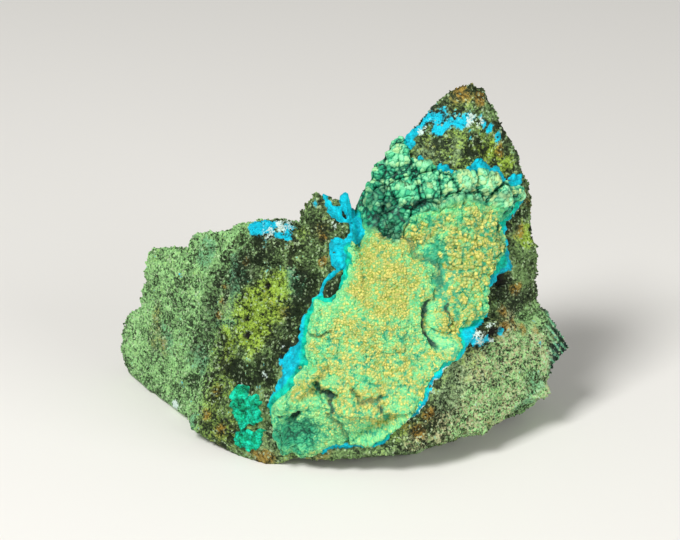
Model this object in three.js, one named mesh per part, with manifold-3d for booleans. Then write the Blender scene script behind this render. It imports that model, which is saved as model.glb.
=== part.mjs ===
// Brochantite specimen: a chip of green-grey rock with a crust of brochantite in its hollow face,
// a seam of blue chrysocolla round the crust and two small patches of malachite.
//
// Millimetres, +Z up. The origin is at the middle of the footprint, on the flat foot. The crust
// faces -Y and the rock is longest along X.
//
// Every surface is a distance from one inner point, the heart. The rock is a set of angular
// blocks that all hold the heart, so its surface is the farthest block along each direction.
// The crust, seam and patches are skins laid on it. Their outlines are drawn on a chart: a
// stereographic map of the directions round the heart, straight ahead (-Y) at its middle, whose
// globe is about as far from the heart as the rock's face, so that a unit of it is about 1 mm.

import * as THREE from 'three';
import { ConvexGeometry } from 'three/addons/geometries/ConvexGeometry.js';
import { TessellateModifier } from 'three/addons/modifiers/TessellateModifier.js';
import { mergeVertices } from 'three/addons/utils/BufferGeometryUtils.js';
import Module from 'manifold-3d';

const HEART = new THREE.Vector3(1, -4, 24);
const CORE = 5;                  // every block holds the points this far from the heart
const GLOBE = 17.5;              // radius of the chart's globe
const ROCK_EDGE = 5.8;           // longest edge of the rock's triangles
const BED = 1.02;                // skins sit on the rock enlarged this much, a gap of about 0.3
const SEAM_GAP = 0.35;           // between the crust's edge and the seam, on the chart
const INNER = 9;                 // skins are built down to here, then cut off at the bed

const LEDGES = { size: 8, height: 0.9 };  // broad unevenness of broken rock
const CHIPS = { size: 4.2, height: 0.7 }; // small breaks
const CALM = 2;                  // the rock is plain under the skins and this far round them
const FADE = 3;                  // from there its roughness grows to full over this distance
const BACK = 0.6;                // directions with more +Y than this are rough all over
const FOOT_CALM = 4;             // the roughness grows from nothing at the foot to full this high

// Corners of the rock's blocks. Each is named for the form it gives the rock.
const BLOCKS = {
  // the tapering left end
  tip: [
    [-41.5, 18.5, 8.5], [-41.5, 18, 5], [-39, 18, 12.5], [-36, 16, 15], [-39.5, 17, 0.5],
    [-34.5, 8.5, 0.5], [-32.5, 10, 10.5], [-37, 22, 2], [-38, 22, 10], [-23, 24, -2],
    [-23, 23, 12],
  ],
  // the sage-green slab, with its flat top and its broken right edge
  leaf: [
    [-34.5, 13, 25], [-33.5, 11.5, 28.5], [-27.5, 6.5, 31], [-35.5, 14.5, 16.5], [-37, 14, 11],
    [-37, 12, 2.5], [-21.5, -1.5, 31.5], [-26.5, -1.5, 16.5], [-33.5, 7.5, 0.5],
    [-27.5, -3, 1.5], [-24, -7.5, 10], [-33, 21, 21.5], [-27.5, 18, 23], [-23, 24, -2],
    [-34, 18, -2], [-23, -3, -2],
  ],
  // the step up from the slab
  step: [
    [-27, 6, 32.5], [-26, 5, 34.5], [-17.5, -4.5, 39], [-21.5, -1.5, 31.5], [-20.5, -6.5, 26.5],
    [-25, 0, 23], [-28, 6, 28], [-26.5, 18, 26], [-18.5, 19, 27.5], [-25, 20, 10], [-21, 16, -2],
  ],
  // the olive shoulder that runs down to the front foot
  shoulder: [
    [-17.5, -3.5, 38.5], [-17, -4, 40], [-13.5, -6, 42], [-8, -7, 42], [-24.5, -0.5, 23.5],
    [-24.5, -6, 14], [-26.5, -9.5, 2], [-24.5, -11, 2], [-21.5, -10, 1], [-18, -14.5, 0.5],
    [-13, -18, -1], [-8.5, -19, 1], [-8.5, -22, 15.5], [-18.5, -16, 10.5], [-6.5, -11, 40.5],
    [-33, 20, 3], [-25.5, 18, 25], [-21, 24, -2], [-12.5, 18, 29.5], [3, 23, -2],
    [-1.5, 21, 25.5],
  ],
  // the narrow crest in the middle
  crest: [
    [-5, -7, 45.5], [-4, -8, 47], [-2, -8.5, 46.5], [1.5, -7, 45.5], [-6.5, -11, 40.5],
    [-8.5, -22, 15.5], [-12.5, -17.5, -0.5], [-1, -20.5, 4], [6.5, -20.5, 14], [-6, 2, 38.5],
    [2.5, 7, 38], [-7, 20, 12], [7, 23, -2], [2.5, 20, 28.5], [-9, 22, -2], [-12, -14, -2],
  ],
  // the low bulk behind them
  back: [
    [-30, 20, 1], [-24, 20, 18], [-20, 22, -2], [-8, 19, 30], [4, 17, 33], [10, 17, 36],
    [27, 15, 36], [33, 14, 10], [30, 14, -2], [8, 23, -2], [8, 22, 20],
  ],
  // the tall spire at the right
  spire: [
    [19.5, 3, 62], [21, 3.5, 62.5], [23.5, 4, 63], [25, 5, 61.5], [17, 2, 60], [13.5, 0.5, 56],
    [9.5, -1, 51.5], [7, -2, 46.5], [4, -3.5, 43], [-1, -21.5, 14.5], [16, -20.5, 12.5],
    [27, 5, 58], [29, 5, 55], [31.5, 4.5, 50.5], [32.5, 4, 46.5], [34, 3, 42], [35, 0.5, 35],
    [36, -1, 23], [28.5, -12, 19], [34, 13, 40], [26.5, 13, 55.5], [21, 13, 56.5],
    [11.5, 13, 46.5], [31, 12, -2], [9, 22, -2], [-3, 20, 4],
  ],
  // the toe that juts out low at the right and undercuts towards the foot
  toe: [
    [-9.5, -18.5, 2.5], [-4.5, -21.5, 2.5], [-1, -21, 4], [5.5, -21.5, 4.5], [11, -23, 4.5],
    [15, -23, 5], [19.5, -20, 5.5], [25.5, -11.5, 5], [34.5, -6, 4], [38.5, -6, 7.5],
    [39, -2, 14], [36, -1, 20], [20.5, -17, 22.5], [16.5, -21, 14], [28.5, -11.5, 24.5],
    [2, -11, -2], [13, -11, -2], [25, 0, -2], [31, 7, -2], [37, 8, 6], [30, 14, -2],
    [38, 7, 18], [5, 23, -2], [25, 18, 22],
  ],
  // the thin striped flake behind the toe
  flake: [[41.5, -0.5, 14.5], [36.5, -0.5, 21.5], [39, -1.5, 11.5], [37.5, 2.5, 19.5], [40, 3, 10.5]],
};

// Outlines on the chart.
const CRUST_EDGE = [
  [5.4, 34], [6, 31.5], [7.6, 28.3], [6.7, 26.2], [4.6, 25], [2, 22], [2.5, 18.5], [1, 14],
  [-1.5, 9], [-6, 8], [-7, 4.5], [-7, -0.5], [-6.5, -4], [-8, -6.5], [-9.7, -8.9],
  [-10.6, -11.2], [-9.3, -13.6], [-7.7, -15.8], [-5.8, -16.3], [-3.8, -15.7], [-2, -14.9],
  [0.5, -14.5], [3.6, -14.2], [5.4, -13.4], [7.3, -12.3], [9.3, -10.8], [11.8, -8.7],
  [14.2, -6.1], [16.2, -4.2], [18, -2.8], [19, -1.5], [22, 0.4], [24.3, 1.2], [26.2, 2],
  [27.8, 7], [29, 9.5], [31.5, 10.5], [31, 17.5], [33.5, 20], [34.4, 20.9], [33, 22.4],
  [30.6, 23], [29, 24.6], [27.1, 25.8], [24.7, 26.8], [23.1, 26.8], [21.4, 27.9], [19.4, 29.4],
  [15.6, 32.1], [13, 35.5], [12.6, 37.3], [11.5, 39.5], [9.5, 40], [7, 39.2], [5.6, 37],
];
const SEAM_EDGE = [
  [-5, 29.5], [-4, 27], [-2.5, 26.5], [1, 27], [2, 25.5], [0, 23.5], [-3, 23], [-3.5, 20],
  [-3, 17.5], [-2, 17], [-5.1, 14], [-6, 10.6], [-7.5, 9.5], [-8.5, 4.5], [-9, 0], [-10.5, -3],
  [-10, -5.5], [-11.2, -8.8], [-11.7, -11.6], [-10.3, -14.2], [-8.3, -16.6], [-5.8, -17.2],
  [-3.6, -16.6], [-1.8, -15.8], [0.6, -15.4], [3.8, -14.9], [5.6, -14.1], [7.6, -12.8],
  [9.6, -11.3], [12.2, -9], [14.7, -6.4], [16.6, -4.7], [19.4, -4.1], [20.2, -2.2],
  [22.6, -0.6], [24.6, 0.3], [26.8, 1.2], [28.7, 6.5], [30.5, 8], [33, 8.2], [33, 13],
  [32.5, 17.5], [35.2, 19], [36, 20.6], [33.6, 23.4], [31.2, 24.1], [29.5, 26], [27.2, 27],
  [24.8, 27.8], [23.3, 27.7], [21.8, 28.7], [19.8, 30.2], [16.5, 32.7], [14.3, 35.2],
  [14.2, 36.8], [11, 36.8], [8, 36], [6.8, 34.5], [4.3, 36.6], [2.4, 35.2], [0.6, 32.4],
  [-0.9, 30.6], [-0.7, 29.2], [-1.4, 28.4], [-2.7, 28.1], [-3.9, 29.8],
];
const ROCK_ISLAND = [
  [0.2, 17.2], [0.2, 16.2], [-0.6, 14], [-1.6, 11], [-2.7, 9.8], [-4.8, 9.8], [-5.1, 10.8],
  [-4.3, 12.7], [-3.9, 13.8], [-1.3, 16],
];
const UPPER_PATCH = [
  [-19.2, -10.5], [-17, -9.6], [-15.4, -10.2], [-13.5, -9.9], [-12.7, -10.8], [-12.2, -11.8],
  [-12, -13], [-13.4, -14], [-15.2, -15], [-16.5, -14.4], [-17.2, -12.5], [-18.9, -11.3],
];
const LOWER_PATCH = [
  [-16.3, -16.4], [-15.1, -15.5], [-13.6, -15], [-12.1, -14.7], [-11.9, -16.1], [-12.2, -17.2],
  [-13.9, -17.9], [-15.6, -17.7],
];

// Relief of the crust over its bed: chart place, radius and height.
const CRUST = { edge: 0.9, base: 2.3, rollover: 2.2 };
const SWELLS = [
  // the smooth left lobe, from its top to its foot
  [11, 15, 7, 1.0], [8, 3, 9, 1.4], [2, -9, 7, 0.8],
  // the right lobe
  [23, 20, 6, 1.4], [27, 12, 7, 1.6], [24.5, 4, 5, 1.0],
  // hollows: under the upper lumps, the pool at the lower left, the cave, the slit and the notch
  // beside the crest
  [12, 25, 3.4, -2.4], [-6.5, -13, 3, -0.9], [-1.5, -8, 2, -1.1], [-8, -10.5, 1.4, -0.9],
  [5.5, 23.5, 4, -1.0],
];
const LUMPS = [
  // the dark green lumps above the lobes, left to right
  [8.5, 32, 3, 1.1], [8.8, 36, 3, 0.9], [12, 35.5, 3.4, 1.6], [13, 31.5, 3, 0.9],
  [18, 30, 3.6, 1.5], [18.5, 27.5, 2.8, 1.7], [23, 26.5, 3.4, 2.2], [30, 23.5, 3.2, 1.9],
  [33, 21.5, 1.8, 1.2], [26.5, 24.8, 2.2, 1.2],
  // small lobes in the valley
  [19.2, 2.2, 1.9, 1.6], [20.8, 14, 2.6, 1.0],
];
// Valleys as chart lines, with half width and depth.
const VALLEYS = [
  { line: [[18, 17.5], [20.5, 15], [21, 9.5], [20.5, 4], [18.5, -1]], half: 1.5, depth: 1.7 },
  { line: [[18, 6], [16.8, 1.5], [17.5, -1.5]], half: 1.0, depth: 2.0 },
  { line: [[15.5, 27], [21, 24.8], [27, 23.4]], half: 1.1, depth: 1.1 },
];
const BEADS = { size: 3, height: 0.5 };  // round-topped beads of the crust
const SEAM = { height: 1.2, crest: [3, 27, 7, 1.1] };
const PATCH_HEIGHT = 1.0;

const CELL = { crust: 1.17, seam: 2.05, patch: 2.4 };  // chart cells of the skins' grids

const clamp01 = (x) => Math.min(Math.max(x, 0), 1);
const smooth = (x) => { const c = clamp01(x); return c * c * (3 - 2 * c); };
const fract = (x) => x - Math.floor(x);
const mix = (a, b, k) => a + (b - a) * k;

// A repeatable number from 0 to 1 for a lattice point.
const chance = (i, j, k) => fract(Math.sin(i * 127.1 + j * 311.7 + k * 74.7) * 43758.5453);

// Smooth noise from -1 to 1: chances at the corners of a cubic lattice, blended inside each cell.
function noise(point, size) {
  const cell = point.clone().divideScalar(size);
  const low = cell.clone().floor();
  const [x, y, z] = cell.sub(low).toArray().map(smooth);
  const at = (i, j, k) => chance(low.x + i, low.y + j, low.z + k);
  const row = (j, k) => mix(at(0, j, k), at(1, j, k), x);
  return 2 * mix(mix(row(0, 0), row(1, 0), y), mix(row(0, 1), row(1, 1), y), z) - 1;
}

// Round beads on the chart: 1 at the middle of a bead, falling like a dome to 0 between them.
function bead(s, t, size) {
  const [i0, j0] = [Math.floor(s / size), Math.floor(t / size)];
  let nearest = 9;
  for (const i of [i0 - 1, i0, i0 + 1]) {
    for (const j of [j0 - 1, j0, j0 + 1]) {
      const [ds, dt] = [i + chance(i, j, 1) - s / size, j + chance(i, j, 2) - t / size];
      nearest = Math.min(nearest, ds * ds + dt * dt);
    }
  }
  return Math.sqrt(Math.max(0, 1 - nearest));
}

function distanceToLine(line, s, t) {
  let best = Infinity;
  for (let n = 0; n < line.length - 1; n++) {
    const [[a, b], [c, d]] = [line[n], line[n + 1]];
    const along = clamp01(((s - a) * (c - a) + (t - b) * (d - b)) / ((c - a) ** 2 + (d - b) ** 2));
    best = Math.min(best, Math.hypot(s - a - along * (c - a), t - b - along * (d - b)));
  }
  return best;
}

// Distance to an outline, positive inside it.
function depthInside(outline, s, t) {
  let inside = false;
  outline.forEach(([a, b], n) => {
    const [c, d] = outline[(n + 1) % outline.length];
    if ((b > t) !== (d > t) && s < a + ((t - b) * (c - a)) / (d - b)) inside = !inside;
  });
  const edge = distanceToLine([...outline, outline[0]], s, t);
  return inside ? edge : -edge;
}

// The outline moved outwards by a small distance, corner by corner.
function grown(outline, by) {
  const way = Math.sign(THREE.ShapeUtils.area(outline.map(([s, t]) => new THREE.Vector2(s, t))));
  return outline.map(([s, t], n) => {
    const [a, b] = outline[(n + outline.length - 1) % outline.length];
    const [c, d] = outline[(n + 1) % outline.length];
    const [before, after] = [new THREE.Vector2(s - a, t - b), new THREE.Vector2(c - s, d - t)];
    const run = before.normalize().add(after.normalize()).normalize().multiplyScalar(way * by);
    return [s + run.y, t - run.x];
  });
}

// Direction from the heart for a chart place, and back.
function direction(s, t) {
  const [a, b] = [s / (2 * GLOBE), t / (2 * GLOBE)];
  const y = (a * a + b * b - 1) / (a * a + b * b + 1);
  return new THREE.Vector3(a * (1 - y), y, b * (1 - y));
}
const chartPlace = (d) => [(2 * GLOBE * d.x) / (1 - d.y), (2 * GLOBE * d.z) / (1 - d.y)];

// A block: the convex solid of its corners and the core, about the heart.
function block(corners) {
  const core = [[1, 0, 0], [-1, 0, 0], [0, 1, 0], [0, -1, 0], [0, 0, 1], [0, 0, -1]]
    .map((axis) => new THREE.Vector3(...axis).multiplyScalar(CORE));
  return new ConvexGeometry([...corners.map((corner) => new THREE.Vector3(...corner).sub(HEART)), ...core]);
}
const blocks = Object.values(BLOCKS).map(block);

// The planes of a block's faces, with their distances from the heart.
function facePlanes(geometry) {
  const at = geometry.attributes.position;
  const planes = [];
  for (let n = 0; n < at.count; n += 3) {
    const [a, b, c] = [0, 1, 2].map((k) => new THREE.Vector3().fromBufferAttribute(at, n + k));
    const plane = new THREE.Plane().setFromCoplanarPoints(a, b, c);
    if (Number.isFinite(plane.constant) && plane.normal.length() > 0.9) planes.push(plane);
  }
  return planes;
}
const blockPlanes = blocks.map(facePlanes);

// How far a block's surface is from the heart along a direction, and the farthest of them all.
function reach(planes, d) {
  let nearest = Infinity;
  for (const { normal, constant } of planes) {
    const facing = normal.dot(d);
    if (facing > 1e-9) nearest = Math.min(nearest, -constant / facing);
  }
  return nearest;
}

const rockReach = (d) => Math.max(...blockPlanes.map((planes) => reach(planes, d)));

// How much the bare rock's ledges and chips add to its reach. They fade out at the foot.
function roughness(d) {
  const here = d.clone().multiplyScalar(rockReach(d)).add(HEART);
  const [s, t] = chartPlace(d);
  const inside = [SEAM_EDGE, UPPER_PATCH, LOWER_PATCH].map((edge) => depthInside(edge, s, t));
  const bare = d.y > BACK ? 1 : smooth((-Math.max(...inside) - CALM) / FADE);
  const rough = LEDGES.height * noise(here, LEDGES.size) + CHIPS.height * noise(here, CHIPS.size);
  return rough * bare * smooth(here.z / FOOT_CALM);
}

// Height of the crust over its bed.
function crustHeight(s, t) {
  const off = ([a, b, radius]) => Math.hypot(s - a, t - b) / radius;
  let height = CRUST.base;
  for (const swell of SWELLS) height += swell[3] * smooth(1 - off(swell));
  height += Math.max(...LUMPS.map((lump) => lump[3] * Math.sqrt(Math.max(0, 1 - off(lump) ** 2))));
  for (const { line, half, depth } of VALLEYS) {
    height -= depth * smooth(1 - distanceToLine(line, s, t) / (2 * half));
  }
  height += BEADS.height * (bead(s, t, BEADS.size) - 0.5);
  const round = smooth(depthInside(CRUST_EDGE, s, t) / CRUST.rollover);
  return mix(CRUST.edge, Math.max(height, CRUST.edge), round);
}

function seamHeight(s, t) {
  const [a, b, radius, extra] = SEAM.crest;
  return SEAM.height + extra * smooth(1 - Math.hypot(s - a, t - b) / radius);
}

// Moves each vertex of a geometry, and keeps only positions, with shared vertices merged.
function reshape(geometry, place) {
  geometry.deleteAttribute('normal');
  geometry.deleteAttribute('uv');
  const solid = mergeVertices(geometry, 1e-4);
  const at = solid.attributes.position;
  const vertex = new THREE.Vector3();
  for (let n = 0; n < at.count; n++) {
    vertex.fromBufferAttribute(at, n);
    at.setXYZ(n, ...place(vertex).toArray());
  }
  return solid;
}

const wasm = await Module();
wasm.setup();

function toManifold(geometry) {
  return new wasm.Manifold(new wasm.Mesh({
    numProp: 3,
    vertProperties: new Float32Array(geometry.attributes.position.array),
    triVerts: new Uint32Array(geometry.index.array),
  }));
}

function fromManifold(solid) {
  const { vertProperties, triVerts } = solid.getMesh();
  const geometry = new THREE.BufferGeometry();
  geometry.setAttribute('position', new THREE.BufferAttribute(vertProperties, 3));
  geometry.setIndex(new THREE.BufferAttribute(triVerts, 1));
  return geometry;
}

// The blocks joined and cut flat at the foot, about the heart.
function joinedBlocks() {
  const floor = new THREE.BoxGeometry(200, 200, 100).translate(0, 0, -HEART.z - 50);
  return blocks.map((geometry) => toManifold(reshape(geometry.clone(), (v) => v)))
    .reduce((whole, next) => whole.add(next))
    .subtract(toManifold(reshape(floor, (v) => v)));
}

// The joined blocks divided into small triangles and roughened.
function rockSurface(joined) {
  const fine = new TessellateModifier(ROCK_EDGE, 20).modify(fromManifold(joined).toNonIndexed());
  return reshape(fine, (v) => {
    const d = v.clone().normalize();
    const point = d.multiplyScalar(v.length() + roughness(d)).add(HEART);
    point.z = Math.max(point.z, 0);
    return point;
  });
}

// The cone from the heart through an outline on the chart.
function cone(outline) {
  const [inner, outer] = [INNER / 2, 100];
  const shape = new THREE.Shape(outline.map(([s, t]) => new THREE.Vector2(s, t)));
  const prism = new THREE.ExtrudeGeometry(shape, { depth: 1, bevelEnabled: false });
  return toManifold(reshape(prism, ({ x, y, z }) =>
    direction(x, y).multiplyScalar(z > 0.5 ? outer : inner).add(HEART)));
}

// A skin of some height over the rock inside an outline, cut off at the bed it lies on.
function skin(outline, height, cell, bed) {
  const box = new THREE.Box2().setFromPoints(outline.map(([s, t]) => new THREE.Vector2(s, t)));
  box.expandByScalar(cell);
  const [size, mid] = [box.getSize(new THREE.Vector2()), box.getCenter(new THREE.Vector2())];
  const cells = size.toArray().map((length) => Math.ceil(length / cell));
  const slab = new THREE.BoxGeometry(size.x, size.y, 1, ...cells, 1);
  const blank = reshape(slab, ({ x, y, z }) => {
    const [s, t] = [x + mid.x, y + mid.y];
    const d = direction(s, t);
    return d.multiplyScalar(z > 0 ? rockReach(d) * BED + height(s, t) : INNER).add(HEART);
  });
  return toManifold(blank).intersect(cone(outline)).subtract(bed);
}

const finish = (color, dullness) =>
  new THREE.MeshStandardMaterial({ color, roughness: dullness, metalness: 0 });

function named(name, geometry, material) {
  geometry.computeVertexNormals();
  const mesh = new THREE.Mesh(geometry, material);
  mesh.name = name;
  return mesh;
}

const joined = joinedBlocks();
const rock = rockSurface(joined);
const bed = toManifold(reshape(fromManifold(joined), (v) => v.multiplyScalar(BED).add(HEART)));
const crust = skin(CRUST_EDGE, crustHeight, CELL.crust, bed);
const seam = skin(SEAM_EDGE, seamHeight, CELL.seam, bed)
  .subtract(cone(grown(CRUST_EDGE, SEAM_GAP)))
  .subtract(cone(ROCK_ISLAND));
const patch = (outline) => skin(outline, () => PATCH_HEIGHT, CELL.patch, bed);

const specimen = new THREE.Group();
specimen.add(
  named('matrix_rock', rock, finish(0x6d6a4a, 0.95)),
  named('brochantite_crust', fromManifold(crust), finish(0xb6cf6a, 0.8)),
  named('chrysocolla_seam', fromManifold(seam), finish(0x18c4d8, 0.7)),
  named('malachite_patch_upper', fromManifold(patch(UPPER_PATCH)), finish(0x12b98a, 0.75)),
  named('malachite_patch_lower', fromManifold(patch(LOWER_PATCH)), finish(0x12b98a, 0.75)),
);

export default specimen;
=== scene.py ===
"""Brochantite specimen: the finished look of its rock, crust, seam and patches.

Sums are in millimetres and the scene is in metres. +Z is up, the origin is at the middle of the
footprint and the crust faces -Y. As in the solids, every surface is a distance from one inner
point, the heart, and outlines are drawn on a chart: a stereographic map of the directions round
the heart with straight ahead (-Y) at its middle, where one unit is about 1 mm.
"""

import math

import bmesh
import bpy
import numpy as np
from bpy.props import FloatProperty, FloatVectorProperty, IntProperty, PointerProperty
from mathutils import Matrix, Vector


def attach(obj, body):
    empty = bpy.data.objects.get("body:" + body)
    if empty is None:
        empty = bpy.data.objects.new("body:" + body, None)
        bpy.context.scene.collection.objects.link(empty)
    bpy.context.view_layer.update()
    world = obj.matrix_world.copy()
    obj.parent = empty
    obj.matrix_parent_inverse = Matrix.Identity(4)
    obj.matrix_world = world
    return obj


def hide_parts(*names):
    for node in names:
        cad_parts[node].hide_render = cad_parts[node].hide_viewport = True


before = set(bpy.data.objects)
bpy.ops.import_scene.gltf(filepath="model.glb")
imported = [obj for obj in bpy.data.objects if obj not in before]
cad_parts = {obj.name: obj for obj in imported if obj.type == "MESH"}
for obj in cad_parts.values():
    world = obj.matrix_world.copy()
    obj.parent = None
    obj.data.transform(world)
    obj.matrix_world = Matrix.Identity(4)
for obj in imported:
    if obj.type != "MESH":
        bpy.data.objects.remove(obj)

bl_info = {
    "name": "Brochantite specimen",
    "version": (1, 0, 0),
    "blender": (4, 5, 0),
    "location": "3D View > Sidebar > Specimen",
    "description": "Grows the finished rock, crust, seam and patches of a brochantite specimen",
    "category": "Add Mesh",
}

MM = 0.001
BODY = "root"

# ---------------------------------------------------------------------------
# The specimen's form, in millimetres, the same as in its solids

HEART = np.array([1.0, -4.0, 24.0])
CORE = 5.0                  # every block holds the points this far from the heart
GLOBE = 17.5                # radius of the chart's globe
LEDGES = (8.0, 0.9)         # size and height of the rock's broad unevenness
CHIPS = (4.2, 0.7)          # and of its small breaks
CALM = 2.0                  # the rock is plain under the skins and this far round them
FADE = 3.0                  # from there its roughness grows to full over this distance
BACK = 0.6                  # directions with more +Y than this are rough all over
FRONT = 0.3                 # directions with less +Y than this have grooves, steps and pits
SOFTNESS = 0.9              # how softly the skins' bed runs through the rock's inner corners
FOOT_CALM = 4.0             # the roughness grows from nothing at the foot to full this high

BLOCKS = {
    "tip": [
        (-41.5, 18.5, 8.5), (-41.5, 18, 5), (-39, 18, 12.5), (-36, 16, 15), (-39.5, 17, 0.5),
        (-34.5, 8.5, 0.5), (-32.5, 10, 10.5), (-37, 22, 2), (-38, 22, 10), (-23, 24, -2),
        (-23, 23, 12),
    ],
    "leaf": [
        (-34.5, 13, 25), (-33.5, 11.5, 28.5), (-27.5, 6.5, 31), (-35.5, 14.5, 16.5), (-37, 14, 11),
        (-37, 12, 2.5), (-21.5, -1.5, 31.5), (-26.5, -1.5, 16.5), (-33.5, 7.5, 0.5),
        (-27.5, -3, 1.5), (-24, -7.5, 10), (-33, 21, 21.5), (-27.5, 18, 23), (-23, 24, -2),
        (-34, 18, -2), (-23, -3, -2),
    ],
    "step": [
        (-27, 6, 32.5), (-26, 5, 34.5), (-17.5, -4.5, 39), (-21.5, -1.5, 31.5),
        (-20.5, -6.5, 26.5), (-25, 0, 23), (-28, 6, 28), (-26.5, 18, 26), (-18.5, 19, 27.5),
        (-25, 20, 10), (-21, 16, -2),
    ],
    "shoulder": [
        (-17.5, -3.5, 38.5), (-17, -4, 40), (-13.5, -6, 42), (-8, -7, 42), (-24.5, -0.5, 23.5),
        (-24.5, -6, 14), (-26.5, -9.5, 2), (-24.5, -11, 2), (-21.5, -10, 1), (-18, -14.5, 0.5),
        (-13, -18, -1), (-8.5, -19, 1), (-8.5, -22, 15.5), (-18.5, -16, 10.5), (-6.5, -11, 40.5),
        (-33, 20, 3), (-25.5, 18, 25), (-21, 24, -2), (-12.5, 18, 29.5), (3, 23, -2),
        (-1.5, 21, 25.5),
    ],
    "crest": [
        (-5, -7, 45.5), (-4, -8, 47), (-2, -8.5, 46.5), (1.5, -7, 45.5), (-6.5, -11, 40.5),
        (-8.5, -22, 15.5), (-12.5, -17.5, -0.5), (-1, -20.5, 4), (6.5, -20.5, 14), (-6, 2, 38.5),
        (2.5, 7, 38), (-7, 20, 12), (7, 23, -2), (2.5, 20, 28.5), (-9, 22, -2), (-12, -14, -2),
    ],
    "back": [
        (-30, 20, 1), (-24, 20, 18), (-20, 22, -2), (-8, 19, 30), (4, 17, 33), (10, 17, 36),
        (27, 15, 36), (33, 14, 10), (30, 14, -2), (8, 23, -2), (8, 22, 20),
    ],
    "spire": [
        (19.5, 3, 62), (21, 3.5, 62.5), (23.5, 4, 63), (25, 5, 61.5), (17, 2, 60), (13.5, 0.5, 56),
        (9.5, -1, 51.5), (7, -2, 46.5), (4, -3.5, 43), (-1, -21.5, 14.5), (16, -20.5, 12.5),
        (27, 5, 58), (29, 5, 55), (31.5, 4.5, 50.5), (32.5, 4, 46.5), (34, 3, 42), (35, 0.5, 35),
        (36, -1, 23), (28.5, -12, 19), (34, 13, 40), (26.5, 13, 55.5), (21, 13, 56.5),
        (11.5, 13, 46.5), (31, 12, -2), (9, 22, -2), (-3, 20, 4),
    ],
    "toe": [
        (-9.5, -18.5, 2.5), (-4.5, -21.5, 2.5), (-1, -21, 4), (5.5, -21.5, 4.5), (11, -23, 4.5),
        (15, -23, 5), (19.5, -20, 5.5), (25.5, -11.5, 5), (34.5, -6, 4), (38.5, -6, 7.5),
        (39, -2, 14), (36, -1, 20), (20.5, -17, 22.5), (16.5, -21, 14), (28.5, -11.5, 24.5),
        (2, -11, -2), (13, -11, -2), (25, 0, -2), (31, 7, -2), (37, 8, 6), (30, 14, -2),
        (38, 7, 18), (5, 23, -2), (25, 18, 22),
    ],
    "flake": [
        (41.5, -0.5, 14.5), (36.5, -0.5, 21.5), (39, -1.5, 11.5), (37.5, 2.5, 19.5), (40, 3, 10.5),
    ],
}

# Outlines on the chart.
CRUST_EDGE = [
    (5.4, 34), (6, 31.5), (7.6, 28.3), (6.7, 26.2), (4.6, 25), (2, 22), (2.5, 18.5), (1, 14),
    (-1.5, 9), (-6, 8), (-7, 4.5), (-7, -0.5), (-6.5, -4), (-8, -6.5), (-9.7, -8.9),
    (-10.6, -11.2), (-9.3, -13.6), (-7.7, -15.8), (-5.8, -16.3), (-3.8, -15.7), (-2, -14.9),
    (0.5, -14.5), (3.6, -14.2), (5.4, -13.4), (7.3, -12.3), (9.3, -10.8), (11.8, -8.7),
    (14.2, -6.1), (16.2, -4.2), (18, -2.8), (19, -1.5), (22, 0.4), (24.3, 1.2), (26.2, 2),
    (27.8, 7), (29, 9.5), (31.5, 10.5), (31, 17.5), (33.5, 20), (34.4, 20.9), (33, 22.4),
    (30.6, 23), (29, 24.6), (27.1, 25.8), (24.7, 26.8), (23.1, 26.8), (21.4, 27.9),
    (19.4, 29.4), (15.6, 32.1), (13, 35.5), (12.6, 37.3), (11.5, 39.5), (9.5, 40), (7, 39.2),
    (5.6, 37),
]
SEAM_EDGE = [
    (-5, 29.5), (-4, 27), (-2.5, 26.5), (1, 27), (2, 25.5), (0, 23.5), (-3, 23), (-3.5, 20),
    (-3, 17.5), (-2, 17), (-5.1, 14), (-6, 10.6), (-7.5, 9.5), (-8.5, 4.5), (-9, 0),
    (-10.5, -3), (-10, -5.5), (-11.2, -8.8), (-11.7, -11.6), (-10.3, -14.2), (-8.3, -16.6),
    (-5.8, -17.2), (-3.6, -16.6), (-1.8, -15.8), (0.6, -15.4), (3.8, -14.9), (5.6, -14.1),
    (7.6, -12.8), (9.6, -11.3), (12.2, -9), (14.7, -6.4), (16.6, -4.7), (19.4, -4.1),
    (20.2, -2.2), (22.6, -0.6), (24.6, 0.3), (26.8, 1.2), (28.7, 6.5), (30.5, 8), (33, 8.2),
    (33, 13), (32.5, 17.5), (35.2, 19), (36, 20.6), (33.6, 23.4), (31.2, 24.1), (29.5, 26),
    (27.2, 27), (24.8, 27.8), (23.3, 27.7), (21.8, 28.7), (19.8, 30.2), (16.5, 32.7),
    (14.3, 35.2), (14.2, 36.8), (11, 36.8), (8, 36), (6.8, 34.5), (4.3, 36.6), (2.4, 35.2),
    (0.6, 32.4), (-0.9, 30.6), (-0.7, 29.2), (-1.4, 28.4), (-2.7, 28.1), (-3.9, 29.8),
]
ROCK_ISLAND = [
    (0.2, 17.2), (0.2, 16.2), (-0.6, 14), (-1.6, 11), (-2.7, 9.8), (-4.8, 9.8), (-5.1, 10.8),
    (-4.3, 12.7), (-3.9, 13.8), (-1.3, 16),
]
UPPER_PATCH = [
    (-19.2, -10.5), (-17, -9.6), (-15.4, -10.2), (-13.5, -9.9), (-12.7, -10.8), (-12.2, -11.8),
    (-12, -13), (-13.4, -14), (-15.2, -15), (-16.5, -14.4), (-17.2, -12.5), (-18.9, -11.3),
]
LOWER_PATCH = [
    (-16.3, -16.4), (-15.1, -15.5), (-13.6, -15), (-12.1, -14.7), (-11.9, -16.1),
    (-12.2, -17.2), (-13.9, -17.9), (-15.6, -17.7),
]

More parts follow.
